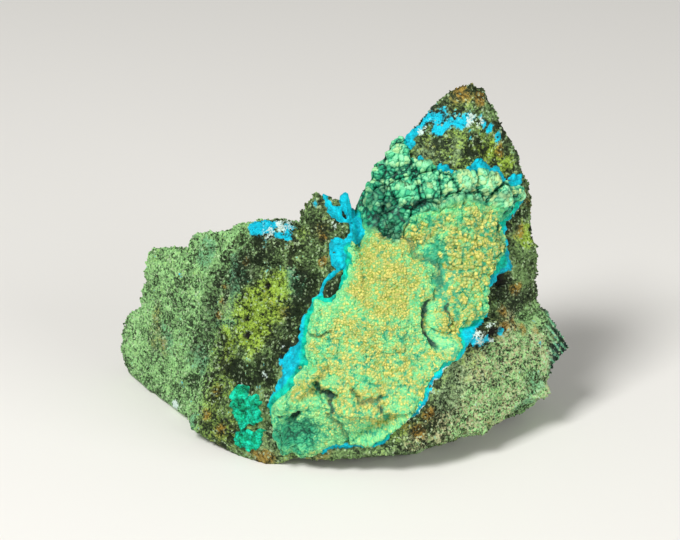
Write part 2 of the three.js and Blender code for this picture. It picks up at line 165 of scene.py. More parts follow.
# Relief of the crust over its bed: chart place, radius and height.
CRUST_HEIGHT = {"edge": 0.9, "base": 2.3, "rollover": 2.2}
SWELLS = [
    (11, 15, 7, 1.0), (8, 3, 9, 1.4), (2, -9, 7, 0.8), (23, 20, 6, 1.4), (27, 12, 7, 1.6),
    (24.5, 4, 5, 1.0), (12, 25, 3.4, -2.4), (-6.5, -13, 3, -0.9), (-1.5, -8, 2, -1.1),
    (-8, -10.5, 1.4, -0.9), (5.5, 23.5, 4, -1.0),
]
LUMPS = [
    (8.5, 32, 3, 1.1), (8.8, 36, 3, 0.9), (12, 35.5, 3.4, 1.6), (13, 31.5, 3, 0.9),
    (18, 30, 3.6, 1.5), (18.5, 27.5, 2.8, 1.7), (23, 26.5, 3.4, 2.2), (30, 23.5, 3.2, 1.9),
    (33, 21.5, 1.8, 1.2), (26.5, 24.8, 2.2, 1.2), (19.2, 2.2, 1.9, 1.6), (20.8, 14, 2.6, 1.0),
]
VALLEYS = [
    ([(18, 17.5), (20.5, 15), (21, 9.5), (20.5, 4), (18.5, -1)], 1.5, 1.7),
    ([(18, 6), (16.8, 1.5), (17.5, -1.5)], 1.0, 2.0),
    ([(15.5, 27), (21, 24.8), (27, 23.4)], 1.1, 1.1),
]
BEADS = (3.0, 0.5)          # size and height of the crust's broad beads
SEAM_CREST = (3, 27, 7, 1.1)    # the seam's thick place: chart place, radius and extra height

# ---------------------------------------------------------------------------
# What the finished surfaces add to that form

# The line between the upper lumps and the two lobes, as chart s and t.
BROW = (
    [3, 6.3, 7, 7.9, 9.3, 11.3, 13, 13.7, 14.1, 15.3, 17, 19, 21, 23, 26, 29, 31.5, 33],
    [31.5, 30.8, 29.4, 27.6, 25, 22.4, 20.6, 21.8, 23.6, 24.6, 24.8, 24.6, 24.2, 23.7, 22.3,
     20.4, 18.2, 17.6],
)
# The valley between the two lobes, as chart t and s.
VALLEY_LINE = (
    [-20, -3, -1, 4, 9.5, 15, 17.5, 22, 26, 30],
    [17.5, 17.5, 18, 20.5, 21, 20.5, 18, 14, 12, 12],
)
# Painted shade in the crust's hollows: chart place, radius, darkness.
HOLLOWS = [
    (12.8, 22.3, 1.2, 0.8), (11.8, 24.8, 2.2, 0.85), (10.2, 28, 2, 0.75), (8.6, 31.5, 1.6, 0.6),
    (-1.9, -7.6, 0.5, 1.0), (-2.9, -6.9, 0.4, 1.0), (16.9, -1.6, 0.5, 1.0), (5.5, -9, 0.4, 0.8),
]
# Creases that are cut in and carry painted shade: chart line, half width and darkness, half
# width and depth.
CREASES = [
    ([(21, 5.5), (20.8, 2.5), (19.8, 1)], (0.2, 0.9), (0.4, 0.7)),
    ([(-9, -9.6), (-7.6, -10.1), (-6.4, -9.6)], (0.35, 1.0), (0.4, 0.9)),
    ([(1.5, -6.6), (2.6, -8), (4.5, -8.2), (6, -8)], (0.3, 0.6), (0.4, 0.5)),
    ([(-2, -9.5), (0, -12), (0.5, -14.5)], (0.4, 0.5), (0.5, 0.4)),
    ([(-7, 2), (-5, 1.4), (-2.5, 2.4)], (0.3, 0.6), (0.4, 0.4)),
    ([(29.6, 17.5), (29, 14), (29.4, 10.5)], (0.4, 0.5), (0.6, 0.4)),
]
# All lines of painted shade on the crust: the crack, the cave, the valley, the upper lumps' lower
# edge and the creases. Each has a chart line, half width and darkness.
SHADE_LINES = [
    ([(18.4, 6.5), (17, 3.5)], 0.5, 1.0),
    ([(17, 3.5), (16.3, 1), (17, -1.2)], 0.3, 1.0),
    ([(-4.2, -6), (-3, -6.9), (-1.9, -7.6), (-1.6, -8.8)], 0.3, 0.9),
    ([(14, 21.5), (16, 19), (18.5, 16.8), (20.3, 14.5), (21, 9.5), (19.6, 6.8)], 0.45, 0.5),
    ([(14, 27.3), (19, 25.6), (24, 24.2), (29, 21.5)], 0.5, 0.4),
    *((line, *dark) for line, dark, _ in CREASES),
]
# All its cut lines, or raised folds where the depth is negative: chart line, half width, depth.
FOLDS = [
    ([(18.2, 6), (17, 3.5), (16.3, 1), (17, -1.2)], 0.55, 1.6),
    ([(20.3, 14.5), (21, 11.5), (20.6, 8.5), (19.6, 6.8)], 0.7, 0.8),
    ([(-3.6, -3), (-5.2, -5.2), (-7.4, -7.4), (-9.6, -9.2)], 0.7, -0.9),
    ([(-4.8, -6.3), (-3.4, -6.9), (-1.6, -7.8)], 0.6, 1.1),
    ([(16.9, -1), (17, -2.2)], 0.5, 0.9),
    *((line, *cut) for line, _, cut in CREASES),
]
POOL = (-6.3, -12.8)        # chart place of the crust's green bowl
POOL_BOWL = (2.8, 0.8)      # the bowl's radius and depth
POOL_SPOT = (*POOL, 2.6, 2.6)
# Soft spots of the crust's colours: strength, chart place, and radii across and along.
OCHRE_SPOTS = [
    (0.78, 9, 14, 9, 12), (0.72, 25, 14, 5, 8), (0.58, 5, -2, 12, 11), (0.7, 20, 1.5, 2.2, 3.5),
    (0.66, 24, 6, 3.5, 6), (0.62, 13, -5, 6, 5), (0.72, 17.5, 20.8, 4.5, 2.5),
    (0.8, -6.5, -6.4, 2.5, 1.2),
]
GREEN_SPOTS = [
    (0.6, *POOL_SPOT), (0.5, -9.3, -14, 2, 3.6), (0.5, 19.8, 15, 1.8, 3),
    (0.5, 20.3, 9.5, 1.3, 4.5),
]
PALE_SPOTS = [(1, 23, 26, 4.5, 2.8), (1, 30, 23, 5, 3)]
LESS_PALE = (6.5, 30, 3.5, 4)
LOW_CORNER = (5.5, 25.5, 2, 2)      # the crust lies lower here
# Soft spots that say how much farther out the crust's edge is, in millimetres.
WIDER_CRUST = [
    (1.1, -6.5, -15.5, 4.5, 2.2), (1.2, 5, 35.5, 1.4, 3), (0.8, 1.5, -15, 3, 1.2),
    (-0.9, 31.5, 12, 2.5, 5),
]
# Beads: size, salt, and how wide the gaps between them are. The finest have their size chosen.
LUMP_BEADS, KNOT_BEADS, SMALL_BEADS = (4.2, 12, 0.9), (2.1, 13, 0.8), (1.7, 4, 0.6)
LOBE_BEADS, TOP_BEADS = (6, 0.75), (14, 0.85)
PATCH_LUMPS, PATCH_BEADS = (2.2, 31), (0.8, 33)
# The upper lumps' beads are this much smaller right of a slanting line: its s at a t, its slant.
SMALL_TOPS = (0.75, 21.5, 27, 0.25)

# The seam's standing fold on the crest. Round bits of the seam that show above the upper lumps,
# and round places that it leaves bare: chart place, and radius in millimetres.
SEAM_FOLD = [(1.8, 31.5), (3.4, 34), (4.3, 31), (4.4, 28.5), (3.8, 26)]
SEAM_BITS = [
    (12.7, 37.2, 1.1), (13.9, 36.9, 1.0), (14.4, 35.8, 0.9), (16.3, 33.2, 0.8), (20, 30.4, 0.8),
    (20.8, 29.8, 0.9), (21.6, 28.9, 0.9), (22.4, 28.3, 0.8), (24.8, 28.1, 0.8), (25.7, 28, 1.1),
    (26.7, 27.7, 1.1), (27.6, 27.3, 1.1), (28.7, 26.5, 1.1), (29.7, 25.8, 1.1), (30.6, 25, 0.9),
    (33.4, 24, 1.2),
]
SEAM_GAPS = [
    (-6.3, 28.4, 1.6), (-6, 27.4, 1.7), (-5.2, 26.4, 1.6), (1.1, 26.1, 0.9), (0.9, 25.1, 0.8),
]
SEAM_ROOT = (3, 31, 2, 4)           # the seam is wider here
SEAM_WEB = (3.8, 33, 1.2, 2.2)      # it stands up here, beside the upper lumps
SEAM_PLAIN = (5, 28, 3, 4)          # and here it has no turquoise border
SEAM_THIN = (7, 24, 1.3)            # right of this s and above this t it is this much narrower
# Where the seam is only a thin line under the crust, and where the crust hides it: chart line,
# half width, and how much narrower the seam is in millimetres.
SLIM_SEAM = [
    ([(-2, -16), (4, -14.5), (9, -11.8), (14, -7.2), (18, -3.6)], 1.5, 0.6),
    ([(-11.7, -11.8), (-10, -14.6), (-8, -16.8), (-4, -16.9)], 1, 2.0),
]
CHALK_LINE = [(8, -13), (13, -9), (16, -5.5)]   # where the seam's outer edge is white
CHALK_SPOT = (22.5, -0.5, 2.5)                  # and once more: chart place and radius
# Small breaks of the bare rock: height, size, salt.
BREAKS = [(0.45, 4.6, 3), (0.36, 2.4, 5), (0.24, 1.3, 8)]
# Cuts in the bare rock: chart line, half width, depth.
GROOVES = [
    ([(-31.5, 16), (-30.5, 3.5), (-29, -4), (-28.5, -9.5), (-24, -13), (-18.5, -17)], 0.8, 0.9),
    ([(-38.5, -16), (-36.5, -17.5)], 0.6, 1.2),
    ([(-45.5, 12), (-42, 8), (-43, 2)], 0.8, 0.6),
    ([(29.5, 5), (32, 1), (36.5, -4), (37, -8)], 0.5, 0.8),
    ([(18, -4.5), (21, -3.5), (26, -4.5)], 0.8, 0.5),
    ([(-27, 21), (-26.5, 14.5), (-18.5, 16), (-10, 20)], 0.6, 0.5),
]
# Steps down to the right of a line: the line as chart t and s, the step's width, its depth,
# and how far from the line the rock is back at its height.
STEPS = [
    ((-17, -13, -8, -1, 4.5, 13), (-33, -35, -37, -40, -38, -35.5), 0.5, 2.4, 9),
    ((-14, -8, 0, 8), (-44.5, -47, -47, -45), 0.8, 0.6, 4),
]
# Round holes in the rock and the seam: chart place, radius, depth.
PITS = [
    (-19.5, 10.5, 1.1, 0.9), (-23.5, 1, 0.8, 0.8), (-21, -2, 0.9, 0.9), (0.5, 28.3, 0.7, 1.2),
    (31.5, 7, 1.5, 1.6), (26, -1.5, 1.1, 1.3), (22.5, -3, 0.7, 0.8), (-2.2, 20.4, 0.2, 0.5),
]
# Colour zones of the bare rock: chart place, and radius in millimetres.
STAINS = {
    "sage": [
        (29, -9, 8), (36, -10, 9), (33, -14, 8), (24, -12, 5), (26, -6, 4), (32, -4, 4),
        (17, -14, 4), (20, -11, 4),
    ],
    "sand": [
        (14, -12.5, 4), (10, -14, 3.5), (22, -7, 4), (27, -6, 5), (33, -8, 5), (19, -12, 5),
        (25, -13, 5), (32, -14, 5), (30, -1.5, 3),
    ],
    "haze": [
        (-28, 11, 3), (-33.5, -3, 3), (-32, -12.5, 3), (29.5, -11.5, 2.5), (-26.5, -0.5, 2.5),
        (-24, -18.5, 2.5), (-27, 6, 2.5), (-44, -14, 3), (-40, 14, 3), (27, -15, 3), (-12, 12, 2.5),
    ],
    "grey": [
        (20, -7, 4.5), (23, -8.5, 4), (16.5, -9.5, 3.5), (-33.5, -8.5, 3), (-36.5, -2, 3),
        (-28.5, 4.5, 3), (18, 33, 2.5), (21, 31.3, 2),
    ],
    "moss": [
        (-19, 7, 4.2), (-20.5, -0.5, 3.6), (-15.5, 11, 2.8), (-25.5, -3.5, 2), (-24, 3, 2.4),
        (28, 29.5, 2), (31, 27, 2), (36.5, 13.5, 2.5),
    ],
    "rust": [
        (-31, -1, 0.8), (-31.5, 3, 0.7), (-31.5, 7, 0.7), (-31, 12.5, 0.8), (-23, -13, 1.2),
        (-18.5, -17, 1.2), (-22, -16, 1.2), (29.5, 29, 1.2), (20, 36, 2.0), (23, 35, 1.2),
        (12, -10, 1.6), (10, -12, 1.4), (30, 1.5, 1.2), (28, -0.7, 1.2), (30.8, -1.5, 1.5),
        (32.2, -3.5, 1.3), (35.5, -5, 1.0), (26.5, -4.8, 0.8), (33.5, 4, 1.4), (-4.8, 22.5, 0.7),
        (-5, 18, 0.8), (35.5, 15, 1.4), (-25, 15, 0.8), (-11, -18, 2.2), (-13, -17.5, 1.4),
    ],
    "dim": [
        (-11.5, -2, 2.4), (-13.5, -6.5, 3), (-17, -7.5, 2.6), (-10.5, 4, 2), (-9.5, 8.5, 1.8),
        (-8.5, 13, 1.8), (-20.5, -8.5, 2.4), (-2.5, 12.5, 2), (-24, 19, 3.5), (-27, 12, 2),
        (17, 34.5, 2), (19.5, 32.3, 2), (23, 30.5, 1.4), (33.5, 1, 2.4), (30, 5, 2),
        (-29.5, -8, 1.6), (-19, 16, 2.4),
    ],
    "blue": [
        (-21.5, 24, 1.6), (-18.5, 24, 2.2), (-15, 24, 2.2), (-14, 22.5, 1.6), (14.6, 37.1, 1.5),
        (15.7, 37, 1.5), (16.8, 36.2, 1.5), (17.8, 35.3, 1.4), (18.5, 34.4, 1.2),
        (19.8, 34.5, 0.9), (21, 34, 1.1), (22.3, 33.5, 1.2), (23.7, 33, 1.1), (25, 32.5, 0.8),
        (26.2, 32, 0.7), (23, 32, 0.9), (28.9, 30.6, 0.9), (34, 22.5, 1.4), (21.9, -0.8, 1.1),
        (22.5, -1.8, 1.1), (24.7, -1.9, 1.2), (23.5, -2.8, 1.1), (26.9, -1.5, 0.8),
        (-11, -3.8, 0.7), (-6.2, 27.4, 0.7), (33.5, -7, 0.8),
    ],
    "white": [
        (-14, -7, 0.8), (-2.2, 25.2, 0.7), (-11.5, -1.5, 0.6), (-18, -10, 0.8), (-32, -23, 1.2),
        (-18.5, 23, 1.4), (-14.5, 26, 1.6), (22.3, 33.4, 1.2), (24.3, 32.7, 0.9), (15.5, 36.4, 0.8),
        (23.4, -0.9, 1.3), (25.6, -0.7, 1.2), (22.9, -2.3, 1.1), (24.9, -2.9, 1.0),
        (-6.6, 11.6, 0.4),
    ],
}
# The right-hand border of the sage slab, as chart t and s.
SLAB_BORDER = ([-24, -15, -8, -1, 4.5, 13, 22], [-26, -30, -36, -39.5, -37.5, -35, -27])
SLAB_BACK = 18              # the slab's colour ends at this y
# The band beside the first step carries painted shade.
SHADE_ROWS = (-16, 14)      # beside the first step the rock is dark between these chart rows
FLAKE_FROM = (37.2, 9)      # the thin flake starts at this x and z

# How finely the surfaces are made. The rock is a box's shell with this many cells a side.
ROCK_BOX = np.array([[-42.5, -25.0, 0.0], [42.5, 24.5, 64.0]])
ROCK_CELLS = (190, 66, 144)
# Grains: the random seed, how far they keep from the growths and the floor, their sizes as
# shares of the usual one, how far their tones differ, and the share that carry painted glints.
GRAINS = {"seed": 7, "clear": 0.4, "above": 1.2, "sizes": (0.3, 0.75), "tones": (-0.35, 0.6),
          "bright": 0.05}
# The rock slopes away below the first of these chart rows and above the second.
STEEP_ROWS = (-8, 18)
# Skins: the grid's pitch, how much closer its steep rows are, and its spans of chart s and t.
SKINS = {
    "left_lobe": (0.1, 0.04, (-12, 23), (-18, 30)),
    "right_lobe": (0.09, 0.05, (15, 36), (-5, 30)),
    "upper_lumps": (0.105, 0.1, (-2, 36), (14.5, 42)),
    "blue_seam": (0.17, 0.06, (-13, 38), (-19, 39)),
}
PATCH_GRID = (0.1, 0.05)    # a patch's pitch and closeness
PATCH_MARGIN = 2            # its grid goes this far past its outline
# Their edges: how wide they roll over, how steeply they sink into the rock outside the edge and
# how far out they reach, and the least thickness of the skin.
CRUST_CUT = {"roll": 0.9, "sink": 1.2, "apron": 0.9, "least": 0.5}
SEAM_CUT = {"roll": 0.45, "sink": 1.2, "apron": 0.9, "least": -9.0}
PATCH_CUT = {"roll": 0.6, "sink": 1.2, "apron": 0.9, "least": 0.1}
PATCH_RISE = 0.55           # height of the patches over the rock
UNDER = (2.5, 0.5, 0.4)     # how steeply, how deep and how far a skin dives under its neighbour

# The stage, in metres: what the camera and lights face, the lights' sizes and places, the floor.
MIDDLE = Vector((0.0005, -0.008, 0.03275))
KEY_LIGHT = (0.3, (-0.38, -0.45, 0.72))
FILL_LIGHT = (0.5, (0.6, -0.45, 0.25))
FLOOR_HALF = 3.0


def smooth(x):
    """0 up to 0, 1 from 1 on, and a soft S between them: 3 x squared less 2 x cubed."""
    x = np.clip(x, 0, 1)
    return x * x * (3 - 2 * x)


def chance(i, j, k):
    """A repeatable number from 0 to 1 for a lattice point: the fraction of a large sine."""
    wave = np.sin(i * 127.1 + j * 311.7 + k * 74.7) * 43758.5453
    return wave - np.floor(wave)


def noise(points, size):
    """Smooth noise from -1 to 1: chances at a cubic lattice's corners, blended inside each cell."""
    low = np.floor(points / size)
    x, y, z = smooth(points / size - low).T
    i, j, k = low.T
    total = 0
    for a, b, c in np.ndindex(2, 2, 2):
        share = (x if a else 1 - x) * (y if b else 1 - y) * (z if c else 1 - z)
        total = total + share * chance(i + a, j + b, k + c)
    return 2 * total - 1


def layered(points, size, layers):
    """Noise plus half as much at half the size, and so on."""
    return sum(noise(points + 31 * n, size / 2 ** n) / 2 ** n for n in range(layers))


def nearest_grain(points, size, salt):
    """Finds the nearest of one jittered point in each cube of a lattice. Gives its distance in
    cube sides, how much farther the second nearest is, the step to each place from the nearest,
    and four chances of its own."""
    place = points / size
    low = np.floor(place)
    first, second = np.full((2, len(points)), np.inf)
    step, home = np.zeros_like(points), np.zeros_like(points)
    for shift in np.ndindex(3, 3, 3):
        cube = low + shift - 1.0
        i, j, k = cube.T
        jitter = [chance(i + salt, j, k), chance(i, j + salt, k), chance(i, j, k + salt)]
        away = place - cube - 0.1 - 0.8 * np.stack(jitter, -1)
        here = (away ** 2).sum(-1)
        second = np.minimum(second, np.maximum(first, here))
        nearer = here < first
        first[nearer], step[nearer], home[nearer] = here[nearer], away[nearer], cube[nearer]
    i, j, k = home.T
    chances = [chance(i + 7 * n, j - 5 * n, k + 3 * n + salt) for n in range(1, 5)]
    return np.sqrt(first), np.sqrt(second) - np.sqrt(first), step, chances


def packed_beads(points, size, salt, wide=0.6):
    """Beads pressed together, 0 where two meet and 1 well inside: a quarter circle over the gap
    between the nearest and the second nearest, up to a gap this wide in beads. Also gives a
    chance of each bead's own."""
    _, gap, _, chances = nearest_grain(points, size, salt)
    return np.sqrt(1 - (1 - np.clip(gap / wide, 0, 1)) ** 2), chances[0]


def facets(points, size, salt):
    """Broken faces, from about -1 to 1: every grain is a small plane with a height and a tilt."""
    _, _, step, (tone_and_painted_light, *tilt) = nearest_grain(points, size, salt)
    slope = np.stack(tilt, -1) * 2 - 1
    return 0.7 * (2 * tone_and_painted_light - 1) + (step * slope).sum(-1)


def distance_to_line(line, s, t):
    """Shortest distance from each place to a line of straight stretches."""
    best = np.full(np.shape(s), np.inf)
    for (a, b), (c, d) in zip(line[:-1], line[1:]):
        along = ((s - a) * (c - a) + (t - b) * (d - b)) / ((c - a) ** 2 + (d - b) ** 2)
        along = np.clip(along, 0, 1)
        best = np.minimum(best, np.hypot(s - a - along * (c - a), t - b - along * (d - b)))
    return best


def depth_inside(outline, s, t):
    """Distance to an outline, positive inside it."""
    inside = np.zeros(np.shape(s), bool)
    for (a, b), (c, d) in zip(outline, outline[1:] + outline[:1]):
        if b != d:
            inside ^= ((b > t) != (d > t)) & (s < a + (t - b) * (c - a) / (d - b))
    edge = distance_to_line(outline + outline[:1], s, t)
    return np.where(inside, edge, -edge)


def length_inside(outline, s, t, here):
    """Distance in millimetres to an outline laid on the plain rock, positive inside it. The line
    is taken in short straight stretches between its places on the rock."""
    ring = np.array(outline + outline[:1], float)
    share = np.linspace(0, len(ring) - 1, 2 * len(ring) - 1)
    line = rock_place(*(np.interp(share, np.arange(len(ring)), side) for side in ring.T))
    best = np.full(len(here), np.inf)
    for start, end in zip(line[:-1], line[1:]):
        way = end - start
        along = np.clip((here - start) @ way / (way @ way + 1e-9), 0, 1)
        off = here - start - along[:, None] * way
        best = np.minimum(best, np.einsum("ij,ij->i", off, off))
    return np.sqrt(best) * np.sign(depth_inside(outline, s, t))


def direction(s, t):
    """Direction from the heart for a chart place, the inverse of a stereographic map."""
    a, b = s / (2 * GLOBE), t / (2 * GLOBE)
    y = (a * a + b * b - 1) / (a * a + b * b + 1)
    return np.stack([a * (1 - y), y, b * (1 - y)], -1)


def chart_place(d):
    """Chart place of a direction from the heart."""
    x, y, z = d.T
    return 2 * GLOBE * x / (1 - y + 1e-9), 2 * GLOBE * z / (1 - y + 1e-9)


def face_planes(corners):
    """Normals of a block's faces and their distances from the heart. The block is the convex
    hull of its corners and of the core's six points."""
    core = CORE * np.vstack([np.eye(3), -np.eye(3)])
    hull = bmesh.new()
    for point in np.vstack([np.array(corners) - HEART, core]):
        hull.verts.new(point)
    bmesh.ops.convex_hull(hull, input=hull.verts)
    hull.normal_update()
    faces = [face for face in hull.faces if face.calc_area() > 1e-6]
    normals = np.array([face.normal for face in faces])
    away = np.array([face.normal.dot(face.verts[0].co) for face in faces])
    hull.free()
    return normals * np.sign(away)[:, None], np.abs(away)


PLANES = [face_planes(corners) for corners in BLOCKS.values()]


def rock_reach(d, soft=0.0):
    """How far the plain rock is from the heart: the nearest plane of each block, and of those
    the farthest block. With a softness, corners between blocks are filled: the softness times
    the logarithm of the sum of the exponentials of every block's reach over the softness."""
    blocks = np.array([(away / np.maximum(d @ normals.T, 1e-9)).min(-1)
                       for normals, away in PLANES])
    farthest = blocks.max(0)
    if soft:
        farthest = farthest + soft * np.log(np.exp((blocks - farthest) / soft).sum(0))
    return farthest


def rock_place(s, t):
    """Where chart places lie on the plain rock."""
    d = direction(np.atleast_1d(s), np.atleast_1d(t))
    return HEART + d * rock_reach(d)[:, None]


def inside_balls(balls, here):
    """How far inside the nearest ball a place is. Each ball has its middle on the plain rock and
    is given as a chart place and a radius in millimetres."""
    return np.max([radius - np.linalg.norm(here - rock_place(a, b), axis=-1)
                   for a, b, radius in balls], 0)


def bareness(s, t, d):
    """Distance from the growths on the rock, in chart units, and endless all over the back."""
    edges = [SEAM_EDGE, UPPER_PATCH, LOWER_PATCH]
    away = -np.max([depth_inside(edge, s, t) for edge in edges], 0)
    return np.where(d[:, 1] > BACK, np.inf, away)


def spot(s, t, a, b, across, along):
    """A soft spot on the chart: 1 in its middle, 0 from one and a half radii on."""
    return smooth(1.5 - np.hypot((s - a) / across, (t - b) / along))


def soft_spots(spots, s, t):
    """One soft spot for each row of a table, times its strength."""
    return [strength * spot(s, t, *place) for strength, *place in spots]


def strongest(spots, s, t):
    """The strongest soft spot of a table at each place."""
    return np.max(soft_spots(spots, s, t), 0)


def near_lines(lines, s, t, full=1.5):
    """For each row of a table, how near its line is, times its strength: a soft S of full less
    the distance in half widths."""
    return [strength * smooth(full - distance_to_line(line, s, t) / half)
            for line, half, strength in lines]


def relief_lines(lines, s, t):
    """Sum of cuts along lines: depth times a soft S of the distance, gone at twice the half."""
    return sum(near_lines([(line, 2 * half, depth) for line, half, depth in lines], s, t, 1))


def steps_down(s, t):
    """Depth below the steps: a soft edge to the right of each line that fades with distance and
    towards the line's ends."""
    total = np.zeros(np.shape(s))
    for rows, line, width, depth, far in STEPS:
        right = s - np.interp(t, rows, line)
        ends = smooth((t - rows[0]) / 3 + 1) * smooth((rows[-1] - t) / 3 + 1)
        total += depth * smooth(right / width) * smooth(1 - (right - width) / far) * ends
    return total


def ground(d, soft=0.0):
    """How far the bare rock is along directions from the heart: plain blocks, ledges and chips
    that fade out at the foot and near the growths, small broken faces, grooves and pits. Also
    gives the height of the small breaks alone."""
    reach = rock_reach(d, soft)
    here = HEART + d * reach[:, None]
    s, t = chart_place(d)
    bare = bareness(s, t, d)
    rough = LEDGES[1] * noise(here, LEDGES[0]) + CHIPS[1] * noise(here, CHIPS[0])
    rough = rough * smooth((bare - CALM) / FADE)
    breaks = sum(height * facets(here, size, salt) for height, size, salt in BREAKS)
    breaks = breaks + 0.16 * noise(here, 0.9)
    bumps = breaks * (0.2 + 0.8 * smooth((bare + 0.7) / 1.5))
    front = d[:, 1] < FRONT
    cuts = 0.2 + 0.3 * smooth(bare / 2) + (relief_lines(GROOVES, s, t) + steps_down(s, t)) * front
    for a, b, radius, depth in PITS:
        cuts = cuts + depth * smooth(1.6 - 1.2 * np.hypot(s - a, t - b) / radius) * front
    reach = reach + (rough + bumps - cuts) * smooth(here[:, 2] / FOOT_CALM)
    down = np.minimum(d[:, 2], -1e-9)
    return np.where(d[:, 2] < 0, np.minimum(reach, -HEART[2] / down), reach), breaks - 0.6 * cuts


def crust_height(s, t, depth):
    """Height of the crust over its bed: a base, soft swells, the highest of the lumps' domes,
    less the valleys, plus broad beads, rolled over at the edge."""
    height = np.full(np.shape(s), CRUST_HEIGHT["base"])
    for a, b, radius, swell in SWELLS:
        height += swell * smooth(1 - np.hypot(s - a, t - b) / radius)
    lumps = [lump * np.sqrt(np.clip(1 - ((s - a) ** 2 + (t - b) ** 2) / radius ** 2, 0, 1))
             for a, b, radius, lump in LUMPS]
    height += np.max(lumps, 0) - relief_lines(VALLEYS, s, t)
    height += BEADS[1] * (chart_beads(s, t, BEADS[0]) - 0.5)
    edge = CRUST_HEIGHT["edge"]
    round_off = smooth(depth / CRUST_HEIGHT["rollover"])
    return edge + (np.maximum(height, edge) - edge) * round_off


def chart_beads(s, t, size):
    """Round beads on the chart: 1 at a bead's middle, falling like a dome to 0 between them."""
    i0, j0 = np.floor(s / size), np.floor(t / size)
    square = np.full(np.shape(s), np.inf)
    for shift in np.ndindex(3, 3):
        i, j = i0 + shift[0] - 1, j0 + shift[1] - 1
        ds, dt = i + chance(i, j, 1) - s / size, j + chance(i, j, 2) - t / size
        square = np.minimum(square, ds * ds + dt * dt)
    return np.sqrt(np.clip(1 - square, 0, 1))


# ---------------------------------------------------------------------------
# Meshes

def new_piece(name, points, faces, marks, soft=True):
    """A mesh object from points in millimetres, faces of one size and a mark per point."""
    mesh = bpy.data.meshes.new(name)
    count, corners = faces.shape
    mesh.vertices.add(len(points))
    mesh.vertices.foreach_set("co", (points * MM).astype(np.float32).ravel())
    mesh.loops.add(count * corners)
    mesh.loops.foreach_set("vertex_index", faces.astype(np.int32).ravel())
    mesh.polygons.add(count)
    mesh.polygons.foreach_set("loop_start", np.arange(0, count * corners, corners, dtype=np.int32))
    mesh.polygons.foreach_set("use_smooth", np.full(count, soft))
    for mark, values in marks.items():
        layer = mesh.attributes.new(mark, "FLOAT", "POINT")
        layer.data.foreach_set("value", np.ascontiguousarray(values, np.float32))
    mesh.update(calc_edges=True)
    mesh.validate()
    piece = bpy.data.objects.new(name, mesh)
    bpy.context.scene.collection.objects.link(piece)
    return piece


def settle(piece, finish, slot, *nodes):
    """Gives a piece its finish, lets it ride on the body and stand for its solids."""
    piece.data.materials.append(finish)
    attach(piece, BODY)
    if nodes:
        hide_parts(*nodes)


def box_shell(counts):
    """The surface of a box divided into cells: the surface places as shares of each side, and
    quads wound outwards."""
    edge = np.zeros(np.array(counts) + 1, bool)
    edge[[0, -1]] = edge[:, [0, -1]] = edge[:, :, [0, -1]] = True
    ids = np.full(edge.shape, -1)
    ids[edge] = np.arange(edge.sum())
    quads = []
    for axis in range(3):
        for end in (0, -1):
            side = np.take(ids, end, axis)
            ring = [side[:-1, :-1], side[1:, :-1], side[1:, 1:], side[:-1, 1:]]
            flip = (end == 0) != (axis == 1)
            quads.append(np.stack(ring[::-1] if flip else ring, -1).reshape(-1, 4))
    return np.argwhere(edge) / counts, np.concatenate(quads)


def grid_normals(points):
    """Unit normals of a grid of points, out of the front: the cross product of its two slopes."""
    normal = np.cross(np.gradient(points, axis=1), np.gradient(points, axis=0))
    return normal / (np.linalg.norm(normal, axis=-1, keepdims=True) + 1e-12)


def chart_rows(low, high, pitch, stretch):
    """Rows of a chart grid from low to high, closer together where the rock slopes away: the
    pitch divided by 1 plus a stretch for each unit past the steep rows."""
    below, above = STEEP_ROWS
    fine = np.linspace(low, high, 4000)
    weight = 1 + stretch * (np.maximum(fine - above, 0) + np.maximum(below - fine, 0))
    run = np.concatenate([[0], np.cumsum(weight[1:] * np.diff(fine))])
    return np.interp(np.arange(0, run[-1], pitch), run, fine)


def cone_skin(points, keep, apex):
    """Faces of a closed skin on a grid: two triangles for each kept cell, and a wall of
    triangles from every border edge to one inner point."""
    rows, columns = points.shape[:2]
    ids = np.arange(rows * columns).reshape(rows, columns)
    corners = [ids[:-1, :-1], ids[:-1, 1:], ids[1:, 1:], ids[1:, :-1]]
    a, b, c, d = (corner[keep] for corner in corners)
    framed = np.pad(keep, 1)
    empty = [~framed[:-2, 1:-1], ~framed[1:-1, 2:], ~framed[2:, 1:-1], ~framed[1:-1, :-2]]
    faces = [np.stack([a, b, c], -1), np.stack([a, c, d], -1)]
    for side in range(4):
        border = keep & empty[side]
        start, end = corners[side][border], corners[(side + 1) % 4][border]
        faces.append(np.stack([end, start, np.full_like(start, rows * columns)], -1))
    faces = np.concatenate(faces)
    used, order = np.unique(faces, return_inverse=True)
    cloud = np.vstack([points.reshape(-1, 3), apex])
    return cloud[used], order.reshape(faces.shape), used


